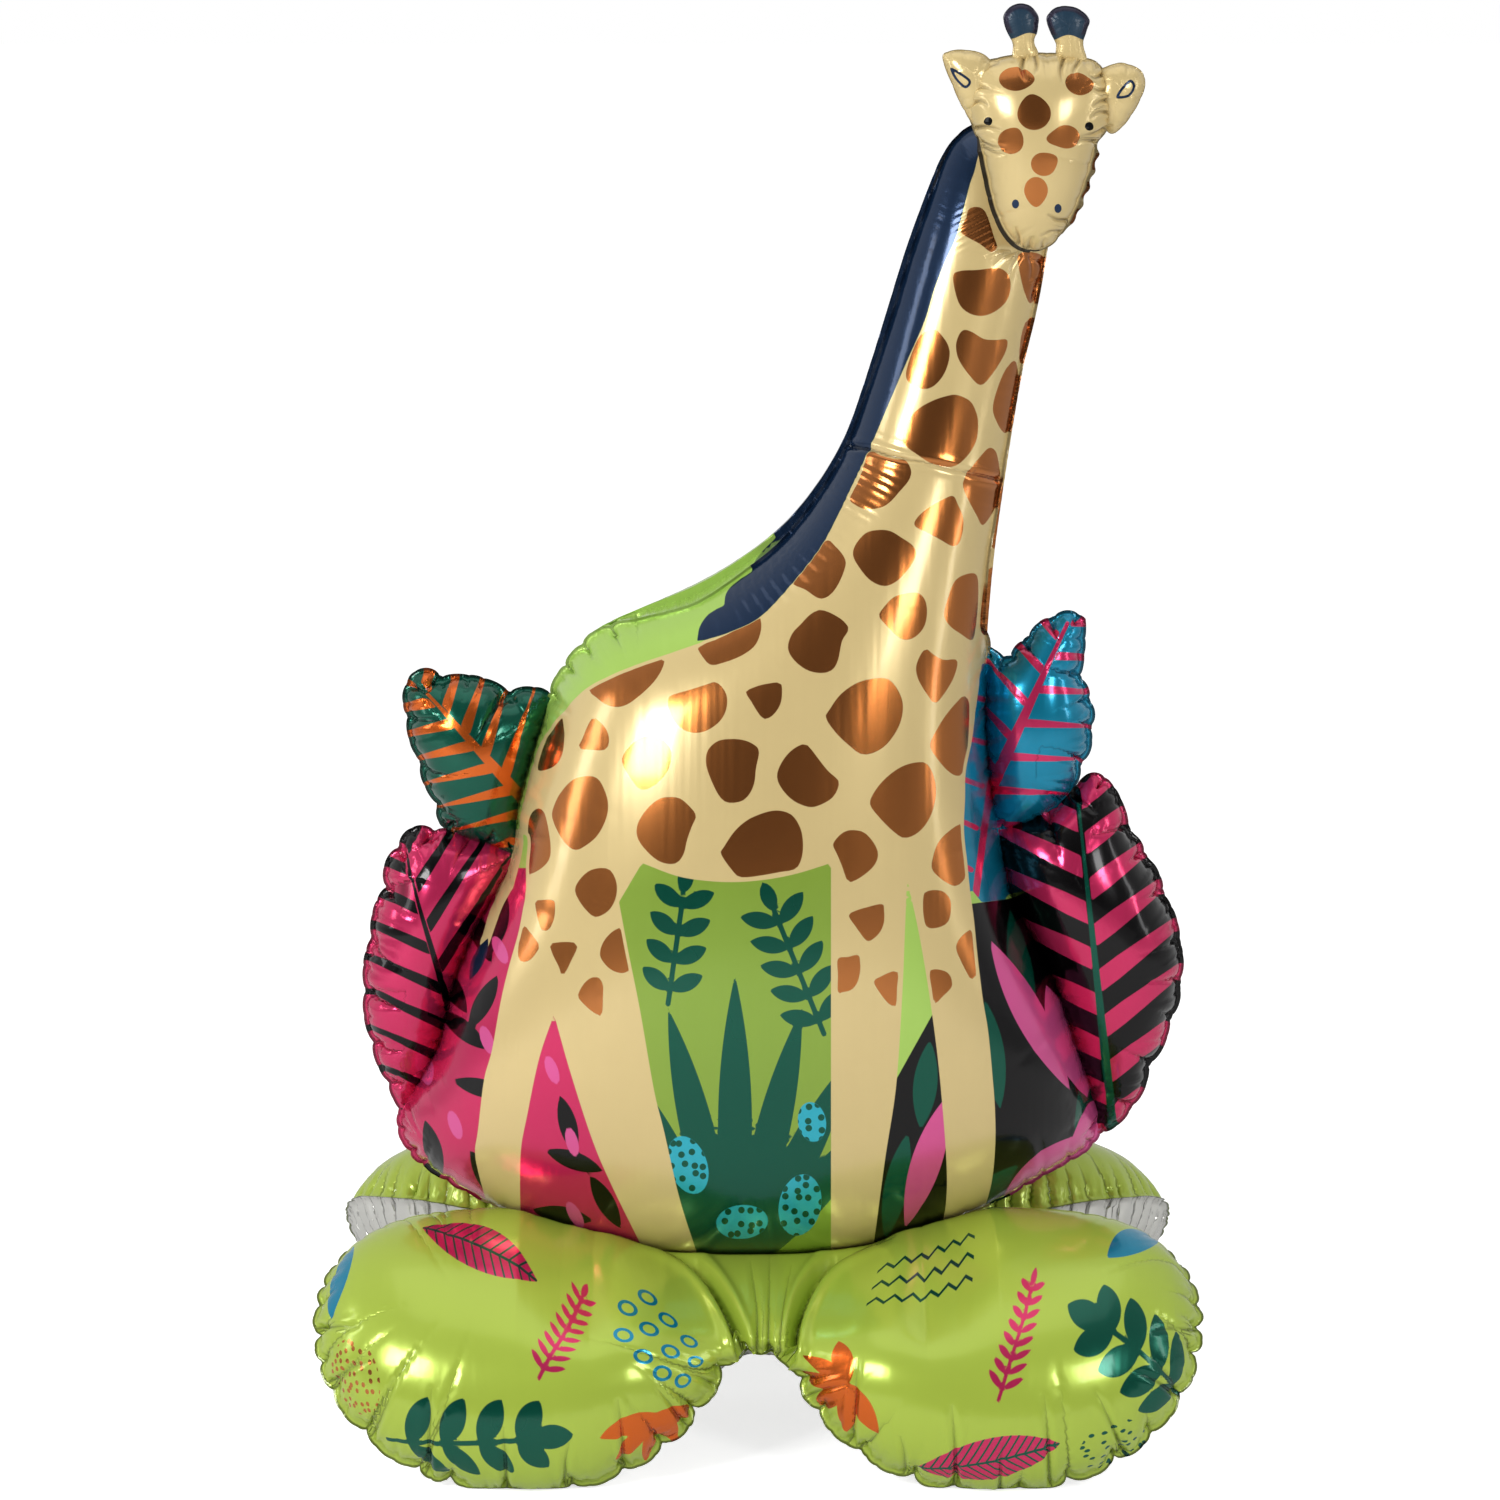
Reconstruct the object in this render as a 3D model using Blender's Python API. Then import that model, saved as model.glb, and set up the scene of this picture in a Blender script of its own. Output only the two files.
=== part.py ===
"""A standing foil balloon in the form of a giraffe.

Three air-filled envelopes, each of two foil sheets sealed round the edge:
  body_balloon   torso and neck, with four leaf lobes welded to its sides
  head_balloon   face, ears and horns, fixed to the front of the neck
  base_cushion   four pads in a cross, folded over a ridge so that it stands like a tent

Metres, +Z up, +Y away from the face, origin on the ground in the middle of the base.
The outlines are drawn in perspective, in sheet units, and sheet(u, v, y) puts a drawn point into the plane y.
"""

import math

import bmesh
import bpy
import numpy as np
from mathutils import Vector
from mathutils.bvhtree import BVHTree
from mathutils.geometry import delaunay_2d_cdt

# Drawing the outlines are measured on
SHEET_CENTRE = 750.0            # sheet units, right and down
EYE_DISTANCE = 4.096            # eye to the aim point
EYE_PITCH = math.radians(10.0)  # looking down
AIM_X, AIM_Z = -0.0079, 0.669
SHEET_PER_RADIAN = 100.0 / 36.0 * 1500.0

# Envelopes
RIM = 0.0015                    # half thickness of a sealed edge
SEAM_OVERLAP = 7.0              # sheet units a leaf lobe runs into the torso at its weld
FULL_DEPTH = 0.845              # a round foil balloon is flatter than a tube of the same width
CONTACT_GAP = 0.0022            # between the faceted skins of two balloons that press together
TORSO_STEP, LEAF_STEP, FACE_STEP, TRIM_STEP, BASE_STEP = 0.0300, 0.0190, 0.0145, 0.0098, 0.0315

# Head
HEAD_Y = -0.084                 # seam plane of the face
HEAD_DEPTH = 0.92

# Base cushion, laid flat: x across, b from the ridge to the front or back
PAD_X, PAD_B = 0.225, 0.182     # centre of a pad
PAD_HALF_X, PAD_HALF_B = 0.200, 0.170
PAD_POWER = 2.05
WEB_B = 0.220                   # edge of the web between left and right pads
NOTCH_X = 0.165                 # notch between front and back pads
RIDGE_Z = 0.203                 # height of the folded middle
FOLD_RADIUS = 0.260
PAD_OUT, PAD_IN = 0.60, 0.84    # bulge of the outer and the inner sheet, against a round tube
SOLE_CUT = 0.007                # how far the seam edges are pressed flat on the ground
SINK_AT = [0.0, 0.09, 0.16, 0.19, 0.23, 0.30, 0.40]             # across, from the middle
SINK = [0.030, 0.033, 0.053, 0.046, 0.031, 0.020, 0.0]          # how far the front pads' tops give way there
REAR_RISE = 0.008


def sheet(u, v, y=0.0):
    """Point of the drawing at sheet position (u, v), in the plane y."""
    across = (u - SHEET_CENTRE) / SHEET_PER_RADIAN
    up = (SHEET_CENTRE - v) / SHEET_PER_RADIAN
    eye_y = -EYE_DISTANCE * math.cos(EYE_PITCH)
    eye_z = AIM_Z + EYE_DISTANCE * math.sin(EYE_PITCH)
    reach = (y - eye_y) / (math.cos(EYE_PITCH) + up * math.sin(EYE_PITCH))
    x = AIM_X + reach * across
    z = eye_z + reach * (up * math.cos(EYE_PITCH) - math.sin(EYE_PITCH))
    return x, z


def spline(points, step, closed=False):
    """Evenly sampled Catmull-Rom curve through the points; an open one keeps both its ends."""
    p = np.array(points, float)
    if closed:
        p = np.vstack([p[-1:], p, p[:2]])
    else:
        p = np.vstack([2 * p[0] - p[1], p, 2 * p[-1] - p[-2]])
    fine = []
    for i in range(1, len(p) - 2):
        a, b, c, d = p[i - 1], p[i], p[i + 1], p[i + 2]
        for t in np.linspace(0, 1, 24, endpoint=False):
            fine.append(0.5 * (2 * b + (c - a) * t + (2 * a - 5 * b + 4 * c - d) * t**2 + (3 * b - a - 3 * c + d) * t**3))
    fine.append(p[-2])
    return evenly(np.array(fine), step, closed)


def evenly(fine, step, closed=False):
    """The same polyline, cut into equal lengths of about one step."""
    if closed and np.linalg.norm(fine[0] - fine[-1]) > 1e-9:
        fine = np.vstack([fine, fine[:1]])
    along = np.concatenate([[0], np.cumsum(np.linalg.norm(np.diff(fine, axis=0), axis=1))])
    count = max(2, round(along[-1] / step))
    at = np.linspace(0, along[-1], count + 1)
    if closed:
        at = at[:-1]
    return np.stack([np.interp(at, along, fine[:, k]) for k in (0, 1)], axis=1)


def scallops(notches, bulges, pieces=4):
    """Edge made of shallow arcs between notches. A bulge is the arc's height, out to the left of its direction."""
    line = []
    for a, b, bulge in zip(notches[:-1], notches[1:], bulges):
        a, b = np.array(a, float), np.array(b, float)
        out = np.array([b[1] - a[1], a[0] - b[0]]) / max(np.linalg.norm(b - a), 1e-9)
        for t in np.linspace(0, 1, pieces, endpoint=False):
            line.append(a + (b - a) * t + out * bulge * 4 * t * (1 - t))
    line.append(np.array(notches[-1], float))
    return np.array(line)


def inside(points, ring):
    """Which points lie in the closed ring."""
    hit = np.zeros(len(points), bool)
    a, b = ring, np.roll(ring, -1, axis=0)
    for (x0, y0), (x1, y1) in zip(a, b):
        crosses = (y0 > points[:, 1]) != (y1 > points[:, 1])
        if y1 != y0:
            hit ^= crosses & (points[:, 0] < (x1 - x0) * (points[:, 1] - y0) / (y1 - y0) + x0)
    return hit


def distance(points, ring):
    """Distance of each point from the ring's edges."""
    best = np.full(len(points), 1e9)
    for a, b in zip(ring, np.roll(ring, -1, axis=0)):
        d = b - a
        t = np.clip(((points - a) @ d) / max(d @ d, 1e-18), 0, 1)
        best = np.minimum(best, np.linalg.norm(points - a - t[:, None] * d, axis=1))
    return best


def tile(ring, step):
    """Triangles over the inside of the ring: (points, triangles), the ring's own points first."""
    low, high = ring.min(0), ring.max(0)
    rows = []
    for i, y in enumerate(np.arange(low[1], high[1], step * 0.866)):
        xs = np.arange(low[0] + (i % 2) * step / 2, high[0], step)
        rows.append(np.stack([xs, np.full(len(xs), y)], axis=1))
    grid = np.vstack(rows)
    grid = grid[inside(grid, ring)]
    grid = grid[distance(grid, ring) > 0.58 * step]
    points = np.vstack([ring, grid])
    n = len(ring)
    found = delaunay_2d_cdt([Vector(p) for p in points], [(i, (i + 1) % n) for i in range(n)], [list(range(n))], 1, 1e-7)
    first = [ids[0] for ids in found[3]]
    tris = np.array([[first[i] for i in face] for face in found[2]])
    a, b, c = points[tris[:, 0]], points[tris[:, 1]], points[tris[:, 2]]
    area = (b[:, 0] - a[:, 0]) * (c[:, 1] - a[:, 1]) - (b[:, 1] - a[:, 1]) * (c[:, 0] - a[:, 0])
    tris[area < 0] = tris[area < 0][:, ::-1]
    return points, tris[np.abs(area) > 1e-12]


def pressure_height(points, tris, ring_count):
    """Solves laplace(u) = -2 with u = 0 on the ring, and gives (u, slope of u) at each point.
    The square root of u is a circle's height across a tube."""
    a, b, c = (points[tris[:, k]] for k in range(3))
    area2 = (b[:, 0] - a[:, 0]) * (c[:, 1] - a[:, 1]) - (b[:, 1] - a[:, 1]) * (c[:, 0] - a[:, 0])
    gx = np.stack([b[:, 1] - c[:, 1], c[:, 1] - a[:, 1], a[:, 1] - b[:, 1]], 1) / area2[:, None]
    gy = np.stack([c[:, 0] - b[:, 0], a[:, 0] - c[:, 0], b[:, 0] - a[:, 0]], 1) / area2[:, None]
    local = (gx[:, :, None] * gx[:, None, :] + gy[:, :, None] * gy[:, None, :]) * (area2 / 2)[:, None, None]
    row = np.repeat(tris, 3, axis=1).ravel()
    col = np.tile(tris, (1, 3)).ravel()
    val = local.ravel()
    count = len(points)
    free = np.ones(count)
    free[:ring_count] = 0
    load = np.bincount(tris.ravel(), np.repeat(area2 / 6, 3) * 2, count) * free
    diagonal = np.bincount(tris.ravel(), np.stack([local[:, k, k] for k in range(3)], 1).ravel(), count)
    diagonal[diagonal <= 0] = 1
    u = np.zeros(count)
    r = load.copy()
    z = r / diagonal
    p = z.copy()
    rz = r @ z
    for _ in range(2000):
        ap = np.bincount(row, val * p[col], count) * free
        step = rz / (p @ ap)
        u += step * p
        r -= step * ap
        if np.linalg.norm(r) < 1e-9 * np.linalg.norm(load):
            break
        z = r / diagonal
        new = r @ z
        p = z + (new / rz) * p
        rz = new
    slope = np.zeros((count, 2))
    weight = np.bincount(tris.ravel(), np.repeat(area2, 3), count)
    for k, g in enumerate((gx, gy)):
        each = (g * u[tris]).sum(1)
        slope[:, k] = np.bincount(tris.ravel(), np.repeat(each * area2, 3), count) / weight
    return u, slope


def inflate(points, tris, ring_count, full=FULL_DEPTH):
    """Flat outline to inflated lens: (points moved in the plane, half thickness)."""
    u, slope = pressure_height(points, tris, ring_count)
    steep = np.linalg.norm(slope, axis=1)
    width = np.sqrt(np.maximum(u, 0) + steep**2 / 4) + 1e-9
    share = np.clip(steep / (2 * width), 0, 1)
    share[:ring_count] = 1
    turn = share * math.pi / 2
    out = -slope / np.maximum(steep, 1e-9)[:, None]
    moved = points + out * (width * np.sin(turn) - width * share)[:, None]
    height = width * np.cos(turn)
    flatter = np.clip((height - 0.06) / 0.16, 0, 1)
    height *= 1 - (1 - full) * flatter * flatter * (3 - 2 * flatter)
    height[:ring_count] = 0
    return moved, height


def closed_mesh(front, back, tris, ring_count):
    """Vertices and faces of a solid with a front sheet, a back sheet and a rim that joins them. tris face up in the
    plane's own sense, which is towards the front sheet."""
    n = len(front)
    faces = [tuple(t) for t in tris] + [tuple(t[::-1] + n) for t in tris]
    for i in range(ring_count):
        j = (i + 1) % ring_count
        faces.append((j, i, i + n))
        faces.append((j, i + n, j + n))
    return np.vstack([front, back]), faces


def turned_right(ring):
    """The ring, running anticlockwise."""
    x, y = ring.T
    area = np.sum(x * np.roll(y, -1) - np.roll(x, -1) * y)
    return ring if area > 0 else ring[::-1].copy()


def lens(ring, step, y0=0.0, depth=1.0, full=FULL_DEPTH, limit=None):
    """Solid of one upright balloon whose seam is the ring in the plane y0. limit(points) gives how far back the back
    sheet may reach."""
    ring = turned_right(ring)
    points, tris = tile(ring, step)
    moved, height = inflate(points, tris, len(ring), full)
    height = np.maximum(height * depth, RIM)
    front = np.stack([moved[:, 0], y0 - height, moved[:, 1]], 1)
    back = np.stack([moved[:, 0], y0 + height, moved[:, 1]], 1)
    if limit is not None:
        reach = limit(back)
        back[:, 1] = np.maximum(np.minimum(back[:, 1], reach), front[:, 1] + 2 * RIM)
    return closed_mesh(front, back, tris, len(ring))


def colour(name, rgb, rough, metal):
    material = bpy.data.materials.new(name)
    material.use_nodes = True
    shader = material.node_tree.nodes["Principled BSDF"]
    shader.inputs["Base Color"].default_value = (*rgb, 1)
    shader.inputs["Roughness"].default_value = rough
    shader.inputs["Metallic"].default_value = metal
    return material


def add(name, shape, material, hidden=False):
    vertices, faces = shape
    mesh = bpy.data.meshes.new(name)
    mesh.from_pydata([tuple(v) for v in vertices], [], [tuple(int(i) for i in f) for f in faces])
    bm = bmesh.new()
    bm.from_mesh(mesh)
    bmesh.ops.recalc_face_normals(bm, faces=bm.faces)
    if bm.calc_volume(signed=True) < 0:
        bmesh.ops.reverse_faces(bm, faces=bm.faces)
    bm.to_mesh(mesh)
    bm.free()
    mesh.shade_smooth()
    mesh.materials.append(material)
    obj = bpy.data.objects.new(name, mesh)
    bpy.context.scene.collection.objects.link(obj)
    if hidden:
        obj.hide_render = True
        obj.display_type = "WIRE"
    return obj


def join(obj, other, how="UNION"):
    boolean = obj.modifiers.new(how.lower() + "_" + other.name, "BOOLEAN")
    boolean.operation = how
    boolean.solver = "EXACT"
    boolean.object = other


def grown(name, obj, by, material):
    """A hidden copy of a balloon, larger all round by a small gap."""
    copy = add(name, ([v.co + v.normal * by for v in obj.data.vertices], [f.vertices for f in obj.data.polygons]), material, hidden=True)
    return copy


# Torso and neck. Each side is drawn from the ground up.
RIGHT_SIDE = [
    (800, 1249), (860, 1243), (900, 1235), (950, 1216), (1000, 1195), (1050, 1167), (1085, 1146), (1097, 1124),
    (1090, 1088), (1076, 1045), (1058, 990), (1036, 944), (1014, 902), (1001, 850), (991, 790), (986, 730),
    (986, 680), (989, 640), (996, 560), (1004, 500), (1013, 440), (1025, 370), (1038, 312), (1047, 262),
    (1053, 210), (1050, 165), (1030, 133),
]
LEFT_SIDE = [
    (700, 1249), (620, 1243), (560, 1229), (500, 1204), (450, 1178), (415, 1152), (402, 1118), (424, 1074),
    (440, 1040), (449, 1000), (462, 958), (484, 912), (505, 876), (515, 846), (518, 808), (529, 764),
    (543, 722), (556, 684), (575, 650), (600, 624), (645, 603), (695, 584), (740, 557), (778, 528),
    (812, 488), (842, 438), (864, 376), (884, 312), (903, 250), (924, 192), (942, 150), (962, 129),
]
NECK_TOP = (996, 121)

# Leaf lobes: notches of the scalloped edge, clockwise from the top of the weld, and the height of each arc.
LEAVES = {
    "leaf_left_upper": (
        [(551, 694), (509, 692), (441, 677), (407, 680), (406, 714), (419, 760), (437, 803), (442, 826), (478, 844), (514, 856)],
        [5, 7, 9, 4, 4, 5, 3, 3, 1],
    ),
    "leaf_left_lower": (
        [(514, 853), (472, 838), (434, 831), (398, 846), (385, 886), (371, 936), (364, 988), (371, 1040), (386, 1080), (402, 1112)],
        [3, 4, 11, 7, 5, 4, 4, 3, 2],
    ),
    "leaf_right_upper": (
        [(988, 644), (1014, 657), (1032, 637), (1057, 617), (1086, 619), (1082, 680), (1091, 703), (1091, 730), (1081, 766), (1060, 807), (1000, 834)],
        [-3, 4, 5, 6, 1, 3, 4, 5, 5, 3],
    ),
    "leaf_right_lower": (
        [(1000, 830), (1058, 806), (1080, 786), (1112, 784), (1131, 832), (1148, 858), (1165, 896), (1181, 945), (1180, 985), (1170, 1020), (1149, 1066), (1130, 1110), (1099, 1134)],
        [2, 2, 11, 3, 3, 4, 4, 3, 4, 5, 5, 4],
    ),
}

# Face: rows of (height on the sheet, left edge, right edge), then ears and horns
FACE_ROWS = [
    (60, 990, 1092), (75, 975, 1105), (95, 968, 1112), (115, 969, 1112), (131, 974, 1106), (145, 980, 1096),
    (166, 985, 1091), (190, 990, 1083), (212, 996, 1074), (231, 1005, 1063), (245, 1017, 1051),
]
FACE_TOP, FACE_CHIN = (1043, 53), (1034, 251)
EARS = {
    "ear_left": [(986, 56), (966, 50), (947, 52), (943, 60), (952, 84), (963, 108), (976, 124), (990, 100), (998, 74)],
    "ear_right": [(1098, 74), (1106, 67), (1122, 63), (1140, 70), (1145, 84), (1138, 104), (1122, 127), (1108, 132), (1094, 104)],
}
HORNS = {
    "horn_left": [(1014, 62), (1013, 44), (1006, 29), (1004, 15), (1014, 5), (1028, 5), (1038, 16), (1037, 32), (1034, 42), (1040, 62)],
    "horn_right": [(1058, 64), (1056, 44), (1050, 31), (1047, 17), (1058, 7), (1076, 8), (1089, 19), (1086, 32), (1083, 44), (1086, 66)],
}


def torso_ring(step):
    left = [(u, v) for u, v in LEFT_SIDE]
    ring = RIGHT_SIDE + [NECK_TOP] + left[::-1]
    return spline([sheet(u, v) for u, v in ring], step, closed=True)


def leaf_ring(name, step):
    notches, bulges = LEAVES[name]
    side = 1 if "left" in name else -1
    edge = scallops(notches, [-side * b for b in bulges], 5)
    # The inner side runs a little inside the torso's edge, from the last notch back to the first.
    sides = LEFT_SIDE if side > 0 else RIGHT_SIDE
    top, low = notches[0][1], notches[-1][1]
    inner = [(u + side * SEAM_OVERLAP, v) for u, v in sides if top + 12 < v < low - 12]
    ring = np.vstack([edge, [(notches[-1][0] + side * SEAM_OVERLAP, low)], inner, [(notches[0][0] + side * SEAM_OVERLAP, top)]])
    placed = np.array([sheet(u, v) for u, v in ring])
    return evenly(placed, step, closed=True)


def face_ring(step):
    right = [(r, v) for v, l, r in FACE_ROWS]
    left = [(l, v) for v, l, r in FACE_ROWS]
    ring = [FACE_TOP] + right + [FACE_CHIN] + left[::-1]
    return spline([sheet(u, v, HEAD_Y) for u, v in ring], step, closed=True)


def trim_ring(points, step):
    return spline([sheet(u, v, HEAD_Y) for u, v in points], step, closed=True)


def pad_ring(step):
    """Flat outline of the base cushion: a quarter of it, mirrored three times."""
    quarter = [(0.0, WEB_B - 0.004), (0.016, WEB_B - 0.002)]
    for degrees in np.arange(163, -103, -4):
        c, s = math.cos(math.radians(degrees)), math.sin(math.radians(degrees))
        x = PAD_X + PAD_HALF_X * math.copysign(abs(c) ** (2 / PAD_POWER), c)
        b = PAD_B + PAD_HALF_B * math.copysign(abs(s) ** (2 / PAD_POWER), s)
        quarter.append((x, b))
    quarter.append((NOTCH_X, 0.0))
    q = np.array(quarter)
    right = np.vstack([q, (q * [1, -1])[-2::-1]])
    whole = np.vstack([right, (right * [-1, 1])[-2:0:-1]])
    return evenly(whole, step, closed=True)


def folded(points, height):
    """Puts flat points (x, b), standing off the middle surface by height, onto the fold."""
    angle = points[:, 1] / FOLD_RADIUS
    radius = FOLD_RADIUS + height
    return np.stack([points[:, 0], radius * np.sin(angle), RIDGE_Z - FOLD_RADIUS + radius * np.cos(angle)], 1)


def eased(x, start, end):
    t = np.clip((x - start) / (end - start), 0, 1)
    return t * t * (3 - 2 * t)


def sunk(points, inner):
    """The tops of the front pads give way under the body, and those of the rear pads stand a little higher."""
    x, y, z = np.abs(points[:, 0]), points[:, 1], points[:, 2]
    deep = np.interp(x, SINK_AT, SINK)
    if inner:
        deep = deep * np.clip((x - 0.105) / 0.04, 0, 1)
    change = deep * eased(-y, -0.05, 0.04) - REAR_RISE * eased(y, 0.05, 0.14) * eased(x, 0.15, 0.25)
    return np.stack([points[:, 0], y, z - change * eased(z, 0.10, 0.24)], 1)


def base_shape(body_tree):
    ring = turned_right(pad_ring(BASE_STEP * 0.8))
    points, tris = tile(ring, BASE_STEP)
    moved, height = inflate(points, tris, len(ring), 0.80)
    # The web under the body stays slack and thin.
    slack = np.exp(-((points[:, 0] / 0.105) ** 4) - (points[:, 1] / 0.24) ** 4)
    height = height * (1 - 0.80 * slack)
    outer = sunk(folded(moved, np.maximum(height * PAD_OUT, RIM)), False)
    inner = sunk(folded(moved, -np.maximum(height * PAD_IN, RIM)), True)
    for i, p in enumerate(outer):
        hit = body_tree.ray_cast(Vector((p[0], p[1], -1)), Vector((0, 0, 1)))[0]
        if hit is not None:
            outer[i, 2] = min(outer[i, 2], hit.z - CONTACT_GAP)
            inner[i, 2] = min(inner[i, 2], outer[i, 2] - 2 * RIM - height[i] * 0.3)
    return closed_mesh(outer, inner, tris, len(ring))


def press_on_ground(obj):
    """Lowers the cushion and cuts the soles of its four pads flat at z = 0."""
    bm = bmesh.new()
    bm.from_mesh(obj.data)
    lowest = min(v.co.z for v in bm.verts)
    for v in bm.verts:
        if v.co.z < 0.09:
            v.co.z -= (lowest + SOLE_CUT) * (1 - v.co.z / 0.09)
    cut = bmesh.ops.bisect_plane(bm, geom=bm.verts[:] + bm.edges[:] + bm.faces[:], dist=1e-6, plane_co=(0, 0, 0), plane_no=(0, 0, 1), clear_inner=True)
    rims = [e for e in cut["geom_cut"] if isinstance(e, bmesh.types.BMEdge)]
    bmesh.ops.holes_fill(bm, edges=rims)
    bmesh.ops.recalc_face_normals(bm, faces=bm.faces)
    bm.to_mesh(obj.data)
    bm.free()


def main():
    for obj in list(bpy.data.objects):
        bpy.data.objects.remove(obj)

    cream = colour("printed_foil_cream", (0.76, 0.65, 0.33), 0.28, 0.35)
    lime = colour("printed_foil_green", (0.42, 0.60, 0.09), 0.28, 0.35)

    torso = lens(torso_ring(TORSO_STEP * 0.75), TORSO_STEP)
    body = add("body_balloon", torso, cream)
    for name in LEAVES:
        leaf = add(name, lens(leaf_ring(name, LEAF_STEP * 0.7), LEAF_STEP), cream, hidden=True)
        join(body, leaf)

    tree = BVHTree.FromPolygons([Vector(v) for v in torso[0]], [tuple(int(i) for i in f) for f in torso[1]])

    def clear_of_neck(points):
        reach = np.full(len(points), 1.0)
        for i, p in enumerate(points):
            hit = tree.ray_cast(Vector((p[0], -1, p[2])), Vector((0, 1, 0)))[0]
            if hit is not None:
                reach[i] = hit.y - CONTACT_GAP
        return reach

    head = add("head_balloon", lens(face_ring(FACE_STEP * 0.8), FACE_STEP, HEAD_Y, HEAD_DEPTH, limit=clear_of_neck), cream)
    for name, points in {**EARS, **HORNS}.items():
        trim = add(name, lens(trim_ring(points, TRIM_STEP * 0.75), TRIM_STEP, HEAD_Y, 0.9, limit=clear_of_neck), cream, hidden=True)
        join(head, trim)

    base = add("base_cushion", base_shape(tree), lime)
    press_on_ground(base)
    join(base, grown("room_for_body", body, 0.0009, lime), "DIFFERENCE")


main()
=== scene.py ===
"""Looks of a standing giraffe foil balloon.

Every envelope is two printed foil sheets sealed round the edge. Each sheet starts as a flat outline, swells under
pressure (a membrane solve on its own triangles), and is then puckered along its seam, where the film has more length
than it needs. Prints are signed distances kept on the vertices, so their edges stay sharp.
"""
import math

import bpy
import numpy as np
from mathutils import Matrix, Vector
from mathutils.bvhtree import BVHTree
from mathutils.geometry import delaunay_2d_cdt
from mathutils.kdtree import KDTree


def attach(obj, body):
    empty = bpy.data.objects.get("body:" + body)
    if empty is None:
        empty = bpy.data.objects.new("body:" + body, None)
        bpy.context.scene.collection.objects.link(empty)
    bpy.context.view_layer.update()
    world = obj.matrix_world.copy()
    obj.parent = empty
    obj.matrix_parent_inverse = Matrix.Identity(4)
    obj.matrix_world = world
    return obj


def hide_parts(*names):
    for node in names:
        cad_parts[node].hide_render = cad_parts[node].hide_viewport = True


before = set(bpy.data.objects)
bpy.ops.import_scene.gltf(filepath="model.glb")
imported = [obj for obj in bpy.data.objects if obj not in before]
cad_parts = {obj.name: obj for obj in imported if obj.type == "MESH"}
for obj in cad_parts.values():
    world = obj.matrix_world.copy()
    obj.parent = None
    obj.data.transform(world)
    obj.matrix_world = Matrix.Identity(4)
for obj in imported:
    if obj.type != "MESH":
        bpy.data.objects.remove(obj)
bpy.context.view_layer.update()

COARSER = 1.0

# ---------------------------------------------------------------- drawing and camera

CENTRE = 750.0
LENS, SENSOR = 100.0, 36.0
PX_PER_RADIAN = LENS / SENSOR * 1500.0
EYE_DISTANCE, EYE_PITCH = 4.096, math.radians(10.0)
AIM_X, AIM_Z = -0.0079, 0.669
PX = 0.00099                    # metres to one drawn unit, near the seam plane

FULL_DEPTH = 0.845
FLANGE = 0.0036                 # width of the sealed margin outside the weld
HEAD_Y = -0.084

PAD_X, PAD_B = 0.225, 0.182
PAD_HALF_X, PAD_HALF_B = 0.200, 0.170
PAD_POWER = 2.05
WEB_B, NOTCH_X = 0.220, 0.165
RIDGE_Z, FOLD_RADIUS = 0.203, 0.260
PAD_OUT, PAD_IN = 0.60, 0.84
SOLE_CUT = 0.007
SINK_AT = [0.0, 0.09, 0.16, 0.19, 0.23, 0.30, 0.40]
SINK = [0.030, 0.033, 0.053, 0.046, 0.031, 0.020, 0.0]
REAR_RISE = 0.008


def on_plane(u, v, y=0.0):
    """Point of the drawing at (u, v), in the upright plane y, as (x, z)."""
    across = (u - CENTRE) / PX_PER_RADIAN
    up = (CENTRE - v) / PX_PER_RADIAN
    eye_y = -EYE_DISTANCE * math.cos(EYE_PITCH)
    eye_z = AIM_Z + EYE_DISTANCE * math.sin(EYE_PITCH)
    reach = (y - eye_y) / (math.cos(EYE_PITCH) + up * math.sin(EYE_PITCH))
    return AIM_X + reach * across, eye_z + reach * (up * math.cos(EYE_PITCH) - math.sin(EYE_PITCH))


def drawn(points):
    """Where points in space fall on the drawing, as (u, v)."""
    x, y, z = points.T
    depth = EYE_DISTANCE + y * math.cos(EYE_PITCH) - (z - AIM_Z) * math.sin(EYE_PITCH)
    up = y * math.sin(EYE_PITCH) + (z - AIM_Z) * math.cos(EYE_PITCH)
    return CENTRE + PX_PER_RADIAN * (x - AIM_X) / depth, CENTRE - PX_PER_RADIAN * up / depth


def eased(x, start, end):
    t = np.clip((x - start) / (end - start), 0, 1)
    return t * t * (3 - 2 * t)


# ---------------------------------------------------------------- outlines

def evenly(fine, count, closed=True):
    if closed and np.linalg.norm(fine[0] - fine[-1]) > 1e-9:
        fine = np.vstack([fine, fine[:1]])
    along = np.concatenate([[0], np.cumsum(np.linalg.norm(np.diff(fine, axis=0), axis=1))])
    at = np.linspace(0, along[-1], count + 1)
    if closed:
        at = at[:-1]
    return np.stack([np.interp(at, along, fine[:, k]) for k in (0, 1)], axis=1)


def smooth_line(points, closed=False, pieces=20):
    """Catmull-Rom curve through the points."""
    p = np.array(points, float)
    p = np.vstack([p[-1:], p, p[:2]]) if closed else np.vstack([2 * p[0] - p[1], p, 2 * p[-1] - p[-2]])
    fine = []
    for i in range(1, len(p) - 2):
        a, b, c, d = p[i - 1], p[i], p[i + 1], p[i + 2]
        for t in np.linspace(0, 1, pieces, endpoint=False):
            fine.append(0.5 * (2 * b + (c - a) * t + (2 * a - 5 * b + 4 * c - d) * t**2 + (3 * b - a - 3 * c + d) * t**3))
    fine.append(p[-2])
    return np.array(fine)


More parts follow.
